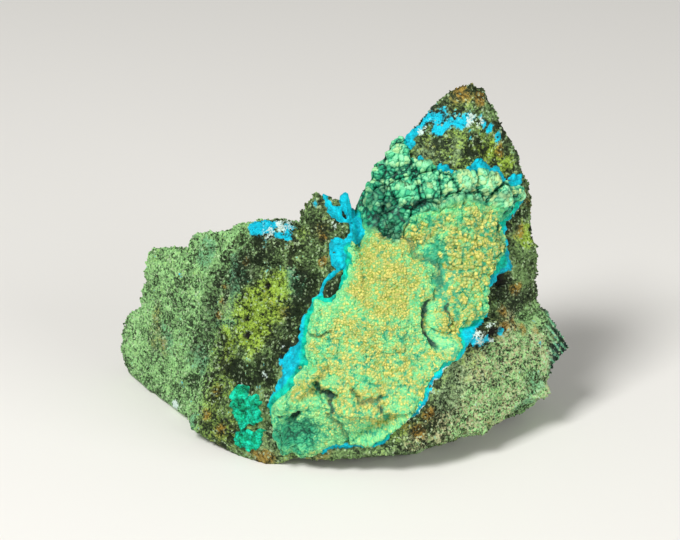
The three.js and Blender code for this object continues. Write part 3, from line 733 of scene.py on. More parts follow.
def chart_skin(name, outline_depth, height, detail, grid, cut, border=None):
    """A skin grown on the rock over part of the chart.

    The base surface is the ground plus height along each direction from the heart. Inside
    outline_depth its edge is a quarter circle, outside it sinks into the rock, and it dives under
    the neighbouring piece beyond a border. The detail, a height and marks for places on that
    base, is added along the base's own normals and leaves the skin its least thickness."""
    pitch, stretch, span_s, span_t = grid
    s, t = np.meshgrid(np.arange(*span_s, pitch), chart_rows(*span_t, pitch, stretch))
    shape = s.shape
    s, t = s.ravel(), t.ravel()
    d = direction(s, t)
    reach, _ = ground(d, SOFTNESS)
    plain = rock_place(s, t)
    depth = outline_depth(s, t, plain)
    edge = np.clip(depth / cut["roll"], 0, 1)
    rise = height(s, t, depth) * np.sqrt(1 - (1 - edge) ** 2) + cut["sink"] * np.clip(depth, -1, 0)
    steep, deepest, farthest = UNDER
    beyond = border(s, t, plain) if border else np.ones_like(depth)
    rise = rise + steep * np.clip(beyond, -deepest, 0)
    base = (HEART + d * (reach + rise)[:, None]).reshape(*shape, 3)
    fine, marks = detail(s, t, base.reshape(-1, 3), depth)
    normals = grid_normals(base)
    thick = rise * (normals.reshape(-1, 3) * d).sum(-1)
    fine = np.maximum(fine, cut["least"] - thick) * smooth(depth / cut["roll"] + 0.3)
    points = base + normals * fine.reshape(*shape, 1)
    inside = ((depth > -cut["apron"]) & (beyond > -farthest)).reshape(shape)
    keep = inside[:-1, :-1] & inside[1:, :-1] & inside[:-1, 1:] & inside[1:, 1:]
    cloud, faces, used = cone_skin(points, keep, HEART)
    marks = {mark: np.append(values, 0)[used] for mark, values in marks.items()}
    return new_piece(name, cloud, faces, marks)


# ---------------------------------------------------------------------------
# Finishes

def shade(red, green, blue):
    """Linear colour from display values of 0 to 255."""
    share = np.array([red, green, blue]) / 255
    return tuple(np.where(share < 0.04045, share / 12.92, ((share + 0.055) / 1.055) ** 2.4))


class Value:
    """A number on its way through a finish. Arithmetic on it adds Math nodes."""

    def __init__(self, finish, socket):
        self.finish = finish
        self.socket = socket

    def math(self, operation, *others):
        return self.finish.node("ShaderNodeMath", {"operation": operation}, (self, *others))

    def __add__(self, other):
        return self.math("ADD", other)

    def __sub__(self, other):
        return self.math("SUBTRACT", other)

    def __rsub__(self, other):
        return self.finish.node("ShaderNodeMath", {"operation": "SUBTRACT"}, (other, self))

    def __mul__(self, other):
        return self.math("MULTIPLY", other)

    __radd__ = __add__
    __rmul__ = __mul__

    def __truediv__(self, other):
        return self.math("DIVIDE", other)

    def ramp(self, low, high):
        """0 below low, 1 above high, and a soft S between them."""
        settings = {"interpolation_type": "SMOOTHSTEP"}
        return self.finish.node("ShaderNodeMapRange", settings, (self, low, high, 0.0, 1.0))

    def at_least(self, other):
        return self.math("MAXIMUM", other)


class Finish:
    """A material in the making: a Principled shader and the nodes that feed it."""

    def __init__(self, name, **settings):
        self.material = bpy.data.materials.new(name)
        self.material.use_nodes = True
        self.tree = self.material.node_tree
        self.shader = self.tree.nodes["Principled BSDF"]
        for socket, value in settings.items():
            self.shader.inputs[socket.replace("_", " ")].default_value = value
        self.place = self.node("ShaderNodeTexCoord", output="Object")

    def node(self, kind, settings=(), inputs=(), output=0):
        """Adds a node: settings first, then the values or links of its sockets."""
        made = self.tree.nodes.new(kind)
        for name, value in dict(settings).items():
            setattr(made, name, value)
        pairs = inputs.items() if isinstance(inputs, dict) else enumerate(inputs)
        for socket, value in pairs:
            self.feed(made.inputs[socket], value)
        return Value(self, made.outputs[output])

    def feed(self, socket, value):
        """Links a value to a socket, or sets a plain number or colour on it."""
        if isinstance(value, Value):
            self.tree.links.new(value.socket, socket)
        elif socket.type == "RGBA":
            socket.default_value = (*value, 1.0)
        else:
            socket.default_value = value

    def mark(self, name):
        """A number that the mesh carries at each point."""
        return self.node("ShaderNodeAttribute", {"attribute_name": name}, output="Fac")

    def cloud(self, size, detail=2.0, roughness=0.6):
        """Cloudy noise about 0.5, with features of a size in millimetres."""
        inputs = {"Vector": self.place, "Scale": 1 / (size * MM), "Detail": detail,
                  "Roughness": roughness}
        return self.node("ShaderNodeTexNoise", inputs=inputs)

    def grain(self, size):
        """A random colour for each grain of a size in millimetres."""
        inputs = {"Vector": self.place, "Scale": 1 / (size * MM)}
        return self.node("ShaderNodeTexVoronoi", inputs=inputs, output="Color")

    def part(self, colour, channel=0):
        """One channel of a colour as a number."""
        return self.node("ShaderNodeSeparateColor", inputs=(colour,), output=channel)

    def blend(self, share, first, second):
        """A colour that goes from the first to the second as share goes from 0 to 1."""
        settings = {"data_type": "RGBA", "clamp_factor": True}
        return self.node("ShaderNodeMix", settings, {0: share, 6: first, 7: second}, output=2)

    def cover(self, colour, *coats):
        """A colour under coats, each a share and a colour of its own."""
        for share, coat in coats:
            colour = self.blend(share, colour, coat)
        return colour

    def axis(self, index):
        """One coordinate of the place in millimetres."""
        return self.node("ShaderNodeSeparateXYZ", inputs=(self.place,), output=index) / MM

    def scale(self, colour, amount):
        """A colour made darker or lighter by a number."""
        inputs = {0: colour, "Scale": amount}
        return self.node("ShaderNodeVectorMath", {"operation": "SCALE"}, inputs)

    def bump(self, height, depth, strength=1.0, normal=None):
        """Small relief: a height of 0 to 1 times a depth in millimetres."""
        inputs = {"Strength": strength, "Distance": depth * MM, "Height": height}
        if normal:
            inputs["Normal"] = normal
        return self.node("ShaderNodeBump", inputs=inputs)

    def done(self, **links):
        """Feeds the shader's sockets and gives the material."""
        for socket, value in links.items():
            self.feed(self.shader.inputs[socket.replace("_", " ")], value)
        return self.material


def rock_finish(look):
    """Broken rock: every small grain is its zone's colour, near the shadow colour in the darkest
    and pale in the brightest. The zones are dark, olive, grey, sage, sandy, hazy, mossy, rusty,
    blue and white, with borders that follow the grains, dim grounds beside the seam, and dark
    teal stripes on the flake. Light and shade are painted in too: the tone is darker in the low
    breaks and cuts and lighter on their highs and on the toe, single grains carry painted glints,
    and the round holes and a band beside the first step carry painted shade."""
    finish = Finish("rock_finish", Specular_IOR_Level=0.2)
    coarse, mid, fine = finish.cloud(6, 3), finish.cloud(1.6, 4, 0.7), finish.cloud(0.45, 3, 0.75)
    cell = finish.grain(0.36)
    pick, pick_two = finish.part(cell, 0), finish.part(cell, 1)
    ragged = (mid - 0.5) * 2.0 + (fine - 0.5) * 0.7 + (pick - 0.5) * 0.3
    haze, sand, white = finish.mark("haze"), finish.mark("sand"), finish.mark("white")

    def zone(name, soft=0.35):
        return (finish.mark(name) + ragged).ramp(0.5 - soft, 0.5 + soft)

    sandy = ((pick_two - 0.5) * 1.2 + ragged * 0.7 + 0.5).ramp(0.2, 0.9) * sand
    hazy = (haze * 0.7 + ragged * 1.4).ramp(0.3, 0.8) * haze.ramp(0.0, 0.4) * 0.7
    stripe = ((finish.axis(0) * 0.81 + finish.axis(2) * 0.58) * 7 + fine * 3).math("SINE")
    striped = finish.blend(stripe.ramp(-0.4, 0.9), look.flake_dark, look.haze)
    colour = finish.cover(
        look.dark, ((coarse * 1.4 + ragged * 0.5 - 0.2).ramp(0.25, 0.75), look.olive),
        (zone("grey"), look.grey), (zone("sage"), look.sage), (sandy, look.sand), (hazy, look.haze),
        (zone("moss") * 0.85, look.moss), (zone("rust") * 0.8, look.rust),
        (finish.mark("flake"), striped))
    # The tone takes painted shade and light from a mark: darker in the rock's low breaks and cuts,
    # lighter on their highs and on the toe.
    tone = pick * 0.45 + fine.ramp(0.3, 0.7) * 0.5 + finish.mark("tone_and_painted_light") * 0.22 + (mid - 0.5) * 1.3
    tone = tone + (coarse - 0.5) * 0.6 - zone("dim") * 0.35
    tone = tone + sand * ((fine - 0.5) * 1.6 + (mid - 0.5) * 0.8)
    night = finish.blend(0.6, finish.scale(colour, 0.16), look.shadow)
    # Painted highlights: glinting grains, the brightest tones and a few random cells go pale.
    glint = finish.mark("glint").at_least(tone.ramp(0.8, 1.1)).at_least(pick_two.ramp(0.93, 0.95))
    chalky = (white * 0.6 + ragged * 1.9).ramp(0.3, 0.65) * white.ramp(0.1, 0.5)
    colour = finish.cover(
        night, (tone.ramp(0.05, 0.8), finish.scale(colour, 1.4)),
        (glint * (0.5 - finish.mark("dim") * 0.25), look.pale),
        (zone("blue", 0.2), finish.scale(look.blue, 0.45 + fine * 1.1)), (chalky, look.white),
        # Painted shade: the round holes and the band beside the first step go to the dark pit
        # colour.
        (finish.mark("pit_shade") + finish.mark("shade") * 0.4, look.pit_shade))
    relief = finish.bump(finish.part(cell, 2), 0.22, 0.8, finish.bump(fine, 0.4, 0.8))
    return finish.done(Base_Color=colour, Normal=relief, Roughness=0.45 + pick * 0.4)


def crust_finish(look):
    """Brochantite. On the lobes, beads are ochre, yellow-green or light green, each its own, with
    green between them and teal in scattered clusters. The upper lumps' beads are teal with light
    green, ochre or mint tops. The lighter tops and darker gaps of the beads are partly painted
    light and shade. Both take painted shade in the hollows, creases and gaps."""
    finish = Finish("crust_finish", Specular_IOR_Level=0.4)
    cap, bead, knob, ochre, mint, deep = (
        finish.mark(name) for name in ("cap", "bead", "knob", "ochre", "mint", "deep"))
    fine, mid = finish.cloud(0.28, 3, 0.7), finish.cloud(2.6, 3)
    clusters = finish.cloud(1.1, 4, 0.7)
    warm = (ochre + (bead - 0.5) * 0.6 + (mid - 0.5) * 1.8 + fine - 0.5).ramp(0.2, 0.8)
    minty = mint + (bead - 0.5) * 0.8
    body = finish.cover(look.green, (warm, look.ochre), (minty.ramp(0.3, 0.9), look.mint))
    body = finish.scale(body, 0.63 + bead * 0.36 + (fine - 0.5) * 1.3)
    specks = (clusters - 0.5) * 3.0 - (knob - 0.6) * 0.6 + finish.mark("speck")
    # Each lobe bead's own colour lies on its top over the darker leaf and amber between beads:
    # partly the beads' colours, partly painted light on the tops and painted shade in the gaps.
    lobes = finish.cover(
        look.leaf, (warm, look.amber), ((cap + (fine - 0.5) * 0.7).ramp(0.15, 0.95), body),
        (specks.ramp(0.2, 0.5) * (1.1 - cap * 0.35), look.teal))
    # Painted light and shade on the upper lumps, beside the beads' own colours: top rises on bead
    # caps and on high knots and lumps, so the colour goes from the deep colour in the gaps through
    # teal to the light tint on top.
    top = cap * 1.1 + (bead - 0.5) * 0.5 + (fine - 0.5) * 1.2 + (knob - 0.5) * 0.8
    top = top + (mint - 0.5) * 0.3 + (clusters - 0.5) * 0.9 + (knob - 0.55) * 0.5
    ochre_top = (ochre + (bead - 0.5) * 0.6).ramp(0.2, 0.8) * 0.8
    tint = finish.cover(look.leaf, (minty.ramp(0.1, 0.9), look.mint), (ochre_top, look.ochre))
    lumps = finish.cover(
        look.deep, (top.ramp(0.15, 0.7), look.teal), (top.ramp(0.45, 1.2) * 0.92, tint))
    # Painted shade: the deep mark darkens the hollows, creases and gaps toward the deep colour.
    colour = finish.cover(
        lobes, (finish.mark("upper"), lumps), (deep * (1.25 - cap * 0.4), look.deep))
    relief = finish.bump(fine, 0.15, 0.75)
    return finish.done(Base_Color=colour, Normal=relief, Roughness=0.34 + fine * 0.25)


def seam_finish(look):
    """Chrysocolla: smooth cyan, turquoise next to the crust and white along parts of its outer
    edge."""
    finish = Finish("seam_finish", Specular_IOR_Level=0.15)
    inner, chalk = finish.mark("inner"), finish.mark("chalk")
    mid, fine = finish.cloud(1.4, 4, 0.65), finish.cloud(0.35, 3, 0.7)
    ragged = (mid - 0.5) * 1.6 + (fine - 0.5) * 0.5
    colour = finish.blend((inner + ragged).ramp(0.3, 0.7), look.cyan, look.turquoise)
    colour = finish.scale(colour, 0.2 + mid.ramp(0.3, 0.7) * 0.65 + fine * 0.5)
    colour = finish.blend((chalk + ragged).ramp(0.5, 0.75), colour, look.chalk)
    relief = finish.bump(mid * 0.6 + fine * 0.4, 0.4, 0.8)
    return finish.done(Base_Color=colour, Normal=relief, Roughness=0.45 + fine * 0.2)


def patch_finish(look):
    """Malachite: blue-green beads, paler on their caps and dark between them. The paler caps and
    dark gaps are painted light and shade.
    """
    finish = Finish("patch_finish", Specular_IOR_Level=0.15)
    cap, bead = finish.mark("cap"), finish.mark("bead")
    mid, fine = finish.cloud(1.5, 3), finish.cloud(0.3, 2)
    body = finish.blend((bead + (mid - 0.5) * 2).ramp(0.2, 0.9), look.green, look.blue_green)
    colour = finish.blend((cap + (fine - 0.5) * 0.8).ramp(0.0, 0.8), look.between, body)
    colour = finish.scale(colour, 0.3 + (fine - 0.5) * 1.9 + mid.ramp(0.3, 0.7) * 0.82)
    relief = finish.bump(fine, 0.15, 0.6)
    return finish.done(Base_Color=colour, Normal=relief, Roughness=0.55 + fine * 0.2)


# ---------------------------------------------------------------------------
# Sizes and colours

def colour(name, description, red, green, blue):
    """A colour setting whose default is given as display values."""
    return FloatVectorProperty(name=name, description=description, subtype="COLOR", size=3,
                               min=0.0, max=1.0, default=shade(red, green, blue))


def length(name, description, default):
    """A size setting in metres."""
    return FloatProperty(name=name, description=description, default=default, min=0.0001,
                         unit="LENGTH", subtype="DISTANCE", precision=5)


def power(name, description, default):
    """A light's setting in watts."""
    return FloatProperty(name=name, description=description, default=default, min=0.0,
                         unit="POWER")


class RockLook(bpy.types.PropertyGroup):
    """Colours and grain of the rock."""

    olive: colour("Olive", "Main colour of the broken rock", 98, 126, 76)
    dark: colour("Dark", "Dark parts of the broken rock", 48, 54, 32)
    sage: colour("Sage", "The left slab and the toe", 140, 188, 122)
    sand: colour("Sand", "Grains scattered over the toe", 158, 156, 116)
    grey: colour("Grey", "Grey parts beside the crust", 124, 150, 106)
    haze: colour("Haze", "Blue-green haze on the sage parts", 96, 160, 122)
    moss: colour("Moss", "Yellow-green parts", 146, 176, 60)
    rust: colour("Rust", "Rusty spots", 146, 112, 42)
    # Pale is a painted highlight: the colour of single glinting grains.
    pale: colour("Pale", "Single bright grains", 200, 226, 178)
    shadow: colour("Shadow", "The darkest grains", 22, 40, 14)
    blue: colour("Blue", "Thin blue stains", 10, 190, 215)
    white: colour("White", "White specks", 205, 225, 215)
    flake_dark: colour("Flake", "Dark stripes of the thin flake", 22, 42, 38)
    # Painted shade: the dark colour of the round holes' bottoms and of the band beside the first
    # step.
    pit_shade: colour("Pit", "Bottoms of the round holes", 20, 18, 14)
    grain: length("Grain", "Usual diameter of the rock's grains", 0.00045)
    grains: IntProperty(name="Grains", description="How many loose-looking grains stand out",
                        default=24000, min=0, max=24000)


class CrustLook(bpy.types.PropertyGroup):
    """Colours and beads of the crust."""

    # The darker colours between the beads are partly painted shade, and the paler tops partly
    # painted light.
    ochre: colour("Ochre", "Tops of the ochre beads", 216, 206, 108)
    amber: colour("Amber", "Between the ochre beads", 128, 158, 60)
    green: colour("Green", "Tops of the green beads", 160, 230, 142)
    leaf: colour("Leaf", "Tops of the upper lumps' beads", 74, 204, 142)
    mint: colour("Mint", "Palest beads of the upper lumps", 156, 236, 178)
    teal: colour("Teal", "Between the green beads", 20, 156, 116)
    # Deep is painted shade: the colour of the hollows, valleys, creases and gaps.
    deep: colour("Deep", "Hollows and valleys", 0, 58, 44)
    left_bead: length("Left bead", "Usual diameter of the left lobe's beads", 0.0005)
    right_bead: length("Right bead", "Usual diameter of the right lobe's beads", 0.0007)
    knob: length("Knob", "Usual diameter of the upper lumps' beads", 0.0009)


class SeamLook(bpy.types.PropertyGroup):
    """Colours of the blue seam."""

    cyan: colour("Cyan", "Main colour of the seam", 0, 194, 216)
    turquoise: colour("Turquoise", "The seam next to the crust", 0, 200, 170)
    chalk: colour("Chalk", "White outer edge", 205, 235, 225)


class PatchLook(bpy.types.PropertyGroup):
    """Colours of the two green patches."""

    green: colour("Green", "Greener beads", 10, 175, 125)
    blue_green: colour("Blue green", "Bluer beads", 20, 205, 165)
    # Between is painted shade: the dark colour between the beads.
    between: colour("Between", "Between the beads", 0, 90, 70)


class StageLook(bpy.types.PropertyGroup):
    """Floor, light and camera."""

    floor: colour("Floor", "Colour of the floor", 226, 224, 219)
    sky: FloatProperty(name="Sky", description="Strength of the light from all round",
                       default=0.27, min=0.0)
    key: power("Key light", "Power of the main light", 8.8)
    fill: power("Fill light", "Power of the light on the right", 3.6)
    distance: length("Distance", "From the camera to the specimen", 0.43)
    elevation: FloatProperty(name="Elevation", description="Height angle of the camera",
                             subtype="ANGLE", unit="ROTATION", default=math.radians(24))
    across: length("Across", "Width of the view at the specimen", 0.11832)


# ---------------------------------------------------------------------------
# Pieces

def stain(here, spots):
    """A zone's strength at each place: the strongest of its spots, 1 inside half its radius and
    0 from one and a half on, with borders bent by noise, less so on small spots."""
    bend = np.stack([0.9 * noise(here + shift, 3.1) + 0.5 * noise(here - shift, 1.2)
                     for shift in (11, 23, 37)], -1)
    strength = np.zeros(len(here))
    for s, t, radius in spots:
        away = here + bend * min(1, radius / 2) - rock_place(s, t)
        away = np.linalg.norm(away, axis=-1) / radius
        strength = np.maximum(strength, smooth(1.5 - away))
    return strength


def rock_marks(here, d, breaks):
    """Colour zones of the rock at its places, and its marks of painted light and shade."""
    s, t = chart_place(d)
    x, y, z = here.T
    front = d[:, 1] < FRONT
    marks = {zone: stain(here, spots) for zone, spots in STAINS.items()}
    border = np.interp(t, *SLAB_BORDER)
    slab = smooth((border - s) / 3 + 0.5) * (y < SLAB_BACK)
    beside = smooth((border + 9 - s) / 6)
    rear = smooth((d[:, 1] - 0.1) / 0.5)
    toe = marks["sage"]
    marks["flake"] = smooth((x - FLAKE_FROM[0]) / 1.2) * smooth((z - FLAKE_FROM[1]) / 2)
    marks["sage"] = np.maximum.reduce([
        toe, slab, 0.5 * beside, rear * smooth(0.5 + 0.9 * layered(here, 14, 2)),
    ]) * (1 - 0.7 * stain(here, STAINS["moss"]))
    wild = smooth(2.2 * layered(here + 50, 6, 2) - 1.0) * (0.35 + 0.4 * rear)
    marks["rust"] = np.maximum(0.8 * marks["rust"], wild)
    marks["moss"] = np.maximum(0.85 * marks["moss"], 0.3 * smooth(1.6 * layered(here - 80, 9, 2)))
    marks["moss"] *= 1 - 0.7 * np.maximum(slab, toe)
    marks["grey"] = np.maximum(marks["grey"], 0.5 * smooth(1.5 * layered(here + 130, 11, 2)))
    marks["blue"] *= smooth(0.95 + 1.5 * noise(here * (0.5, 0.5, 1.6) + 60, 1.2))
    # Painted shade in a band beside the first step, and at the bottoms of the round holes.
    right = s - np.interp(t, *STEPS[0][:2])
    ends = smooth((t - SHADE_ROWS[0]) / 3) * smooth((SHADE_ROWS[1] - t) / 3)
    marks["shade"] = smooth(1.6 - np.abs(right - 0.5) / 0.6) * ends * front
    pit_shade = [smooth(2.2 - 1.7 * np.hypot(s - a, t - b) / radius) for a, b, radius, _ in PITS]
    marks["pit_shade"] = np.max(pit_shade, 0) * front
    # Painted shade and light in the tone: darker where the small breaks and cuts lie low, lighter
    # on their highs, and lighter on the toe, which faces away from the key light. It is also
    # lighter over sand, moss and beside the slab.
    marks["tone_and_painted_light"] = np.clip(0.8 * breaks, -1, 1) + 0.3 * toe + 0.4 * marks["sand"]
    marks["tone_and_painted_light"] += 0.3 * marks["moss"] + 0.3 * beside * (1 - slab)
    marks["glint"] = np.zeros(len(here))
    return marks


def rock_points():
    """Places, quads, directions and small breaks of the whole rock: a box's shell, drawn in along
    straight lines to the heart until it meets the ground."""
    low, high = ROCK_BOX
    share, quads = box_shell(ROCK_CELLS)
    rays = low + (high - low) * share - HEART
    d = rays / np.linalg.norm(rays, axis=-1, keepdims=True)
    reach, breaks = ground(d)
    return HEART + d * reach[:, None], quads, d, breaks


class SPECIMEN_OT_rock(bpy.types.Operator):
    """Adds the rock and the grains that stand out of it"""

    bl_idname = "specimen.rock"
    bl_label = "Rock"

    def execute(self, context):
        look = context.scene.rock_look
        finish = rock_finish(look)
        points, quads, d, breaks = rock_points()
        marks = rock_marks(points, d, breaks)
        rock = new_piece("rock", points, quads, marks)
        settle(rock, finish, "rock", "matrix_rock")
        grains = self.grains(look, points, quads, d, marks)
        settle(grains, finish, "rock")
        return {"FINISHED"}

    def grains(self, look, points, quads, d, marks):
        """Stretched octahedra, each turned its own way and half sunk in a corner of the rock's
        mesh. Corners are drawn by the area round them."""
        rng = np.random.default_rng(GRAINS["seed"])
        a, b, c, e = (points[quads[:, n]] for n in range(4))
        size = 0.5 * np.linalg.norm(np.cross(c - a, e - b), axis=-1)
        weight = np.bincount(quads.ravel(), np.repeat(size, 4), len(points))
        s, t = chart_place(d)
        weight *= (bareness(s, t, d) > GRAINS["clear"]) * (points[:, 2] > GRAINS["above"])
        drawn = rng.choice(len(points), look.grains, False, weight / weight.sum())
        turn = np.linalg.qr(rng.normal(size=(look.grains, 3, 3)))[0]
        turn *= np.sign(np.linalg.det(turn))[:, None, None]
        stretch = look.grain / MM * rng.uniform(*GRAINS["sizes"], (look.grains, 1, 3))
        octahedron = np.vstack([np.eye(3), -np.eye(3)])
        corners = (octahedron * stretch) @ turn + points[drawn][:, None]
        ring = [(0, 1), (1, 3), (3, 4), (4, 0)]
        sides = [(a, b, 2) for a, b in ring] + [(b, a, 5) for a, b in ring]
        faces = np.array(sides) + 6 * np.arange(look.grains)[:, None, None]
        own = {mark: np.repeat(values[drawn], 6) for mark, values in marks.items()}
        own["tone_and_painted_light"] += np.repeat(rng.uniform(*GRAINS["tones"], look.grains), 6)
        own["glint"] = np.repeat(rng.random(look.grains) < GRAINS["bright"], 6)
        return new_piece("rock_grains", corners.reshape(-1, 3), faces.reshape(-1, 3), own, False)


def crust_depth(s, t, here):
    """Distance inside the crust's edge, made ragged by noise, and more or less in some places."""
    ragged = 0.4 * noise(here, 1.8) + 0.25 * noise(here, 0.8)
    more = 0.4 + sum(soft_spots(WIDER_CRUST, s, t))
    return length_inside(CRUST_EDGE, s, t, here) + more + ragged


def above_brow(s, t):
    """Distance above the line between the lobes and the upper lumps."""
    return t - np.interp(s, *BROW)


def right_of_valley(s, t):
    """Distance to the right of the valley between the two lobes."""
    return s - np.interp(t, *VALLEY_LINE)


def hollow_shade(s, t):
    """How much painted shade a place gets from lying in one of the crust's hollows and creases,
    from 0 to 1.
    """
    dark = [strength * spot(s, t, a, b, radius, radius) for a, b, radius, strength in HOLLOWS]
    return np.max(dark + near_lines(SHADE_LINES, s, t), 0)


def creases(s, t):
    """Depth of the small creases, folds and pool that the finished crust has besides its
    valleys. The pool is a round bowl with a soft rim."""
    radius, deep = POOL_BOWL
    bowl = deep * smooth(1.4 - np.hypot(s - POOL[0], t - POOL[1]) / radius)
    return bowl + sum(near_lines(FOLDS, s, t, 1.3))


class SPECIMEN_OT_crust(bpy.types.Operator):
    """Adds the brochantite crust: the two lobes and the upper lumps"""

    bl_idname = "specimen.crust"
    bl_label = "Brochantite crust"

    def execute(self, context):
        look = context.scene.crust_look
        finish = crust_finish(look)
        borders = {
            "left_lobe": lambda s, t, _: -np.maximum(above_brow(s, t), right_of_valley(s, t)),
            "right_lobe": lambda s, t, _: np.minimum(-above_brow(s, t), right_of_valley(s, t)),
            "upper_lumps": lambda s, t, _: above_brow(s, t),
        }
        for name, border in borders.items():
            piece = chart_skin(name, crust_depth, crust_height, self.detail_with(look),
                               SKINS[name], CRUST_CUT, border)
            settle(piece, finish, "brochantite", "brochantite_crust")
        return {"FINISHED"}

    def detail_with(self, look):
        """The crust's beads upon knots and lumps, and its marks, for the beads' chosen sizes."""
        left_bead, right_bead, knob = look.left_bead / MM, look.right_bead / MM, look.knob / MM

        def detail(s, t, here, depth):
            """Lumps, small beads and caps on the lobes, and lumps, knots and caps on the upper
            part, less the creases."""
            past_valley = right_of_valley(s, t)
            upper = smooth(above_brow(s, t) / 1.1 + 0.5)
            right = smooth(past_valley + 0.5)
            left = smooth((6 - s) / 6)
            pool = spot(s, t, *POOL_SPOT)
            side = np.where(past_valley > 0, right_bead, left_bead)
            smaller, line_s, line_t, slant = SMALL_TOPS
            top = np.where(s - slant * (line_t - t) > line_s, smaller, 1.0) * knob
            (lump, lump_own), (knot, _), (small, _) = (
                packed_beads(here, *beads) for beads in (LUMP_BEADS, KNOT_BEADS, SMALL_BEADS))
            lobe_cap, lobe_bead = packed_beads(here, side[:, None], *LOBE_BEADS)
            lump_cap, lump_bead = packed_beads(here, top[:, None], *TOP_BEADS)
            ochre = strongest(OCHRE_SPOTS, s, t) * smooth(depth / (0.9 + 1.3 * left) + 0.3)
            green = strongest(GREEN_SPOTS, s, t)
            pale = np.maximum(0.25 + 0.5 * lump_own, strongest(PALE_SPOTS, s, t))
            pale = pale * (1 - 0.5 * spot(s, t, *LESS_PALE))
            rim = (0.1 + 0.25 * left) * smooth(1.3 - depth / 1.4) * (1 - pool)
            # Painted shade in the gaps between the upper part's lumps and knots, and faintly
            # between the lobes' lumps.
            gaps = (0.7 * smooth(1 - lump / 0.45) + 0.3 * smooth(1 - knot / 0.3)) * upper
            gaps = gaps + (0.15 + 0.2 * right) * smooth(1 - lump / 0.3) * (1 - upper)
            bent = [x + 0.45 * layered(here + shift, 1.3, 2) for x, shift in ((s, 5), (t, 17))]
            murk = (0.1 + 0.4 * smooth(layered(here, 1.2, 2))) * pool
            marks = {
                "upper": np.maximum(upper, 0.75 * pool),
                "cap": lobe_cap + (lump_cap - lobe_cap) * upper,
                "bead": lobe_bead + (lump_bead - lobe_bead) * upper,
                "knob": 0.4 * lump + 0.6 * small + (0.3 * lump + 0.3 * knot - 0.6 * small) * upper,
                "ochre": ochre * (1 - 0.9 * pool) * (1 - upper) + 0.35 * pale * upper,
                "speck": 0.24 * smooth((8 - t) / 8) * (1 - right) + 0.3 * right - 0.1 + green,
                "mint": rim + (pale - rim) * upper,
                # Painted shade in the hollows, creases and gaps between lumps, and darker patches
                # in the pool.
                "deep": np.maximum.reduce([hollow_shade(*bent), murk, gaps]),
            }
            lobes = (0.3 + 0.2 * right) * (lump - 0.75) + (0.3 + 0.25 * right) * (small - 0.7)
            lobes = lobes + 0.55 * side * (lobe_cap - 0.6)
            lumps = 2.0 * (lump - 0.55) + 0.8 * (knot - 0.6) + 0.4 * (lump_cap - 0.3)
            fill = 0.7 * relief_lines(VALLEYS[2:], s, t) - 0.4 * spot(s, t, *LOW_CORNER)
            return lobes + (lumps - lobes) * upper + fill - creases(*bent), marks

        return detail


class SPECIMEN_OT_seam(bpy.types.Operator):
    """Adds the blue chrysocolla seam round the crust"""

    bl_idname = "specimen.seam"
    bl_label = "Chrysocolla seam"

    def execute(self, context):
        finish = seam_finish(context.scene.seam_look)

        def depth_at(s, t, here):
            """Distance inside the seam's outline and outside its island, gaps and pits, less where
            it is slim, or inside its bits, made ragged by noise."""
            depth = length_inside(SEAM_EDGE, s, t, here)
            depth = np.minimum(depth, -length_inside(ROCK_ISLAND, s, t, here))
            depth = np.minimum(depth, -inside_balls(SEAM_GAPS, here))
            for a, b, radius, _ in PITS:
                depth = np.minimum(depth, np.hypot(s - a, t - b) - radius)
            slim = sum(near_lines(SLIM_SEAM, s, t, 1.6))
            low_s, low_t, less = SEAM_THIN
            slim = slim + less * smooth((t - low_t) / 3) * smooth((s - low_s) / 2)
            ragged = 0.3 * noise(here, 1.7) + 0.32 * noise(here, 0.7)
            ragged = ragged + 0.5 * spot(s, t, *SEAM_ROOT)
            return np.maximum(depth - slim, inside_balls(SEAM_BITS, here)) + ragged

        def rise(s, t, _):
            """A thin sheet, thicker at the crest, with a standing fold and a web beside it."""
            a, b, radius, extra = SEAM_CREST
            fold = 0.8 * smooth(1.5 - distance_to_line(SEAM_FOLD, s, t) / 2.1)
            fold = fold + 1.5 * spot(s, t, *SEAM_WEB)
            return 0.4 + 0.3 * extra * smooth(1 - np.hypot(s - a, t - b) / radius) + fold

        def inside_crust(s, t, here):
            return length_inside(CRUST_EDGE, s, t, here)

        def detail(s, t, here, depth):
            """Folds where noise crosses 0, and less height under the crust."""
            inner = smooth(1.3 + inside_crust(s, t, here) / 1.5)
            inner = inner * (1 - spot(s, t, *SEAM_PLAIN))
            a, b, radius = CHALK_SPOT
            chalk = smooth(1.3 - depth / 0.4) * np.maximum(
                smooth(1.6 - distance_to_line(CHALK_LINE, s, t) / 1.5),
                spot(s, t, a, b, radius, radius))
            folds = 0.5 - np.abs(noise(here * (1.0, 1.0, 0.5), 1.6))
            under = 0.8 * smooth(inside_crust(s, t, here) / 0.8 - 0.3)
            fine = 0.5 * folds + 0.4 * (0.4 - np.abs(noise(here, 0.9))) - under
            return fine, {"inner": inner, "chalk": chalk}

        seam = chart_skin("blue_seam", depth_at, rise, detail, SKINS["blue_seam"], SEAM_CUT,
                          lambda s, t, here: 1.6 - inside_crust(s, t, here))
        settle(seam, finish, "chrysocolla", "chrysocolla_seam")
        return {"FINISHED"}


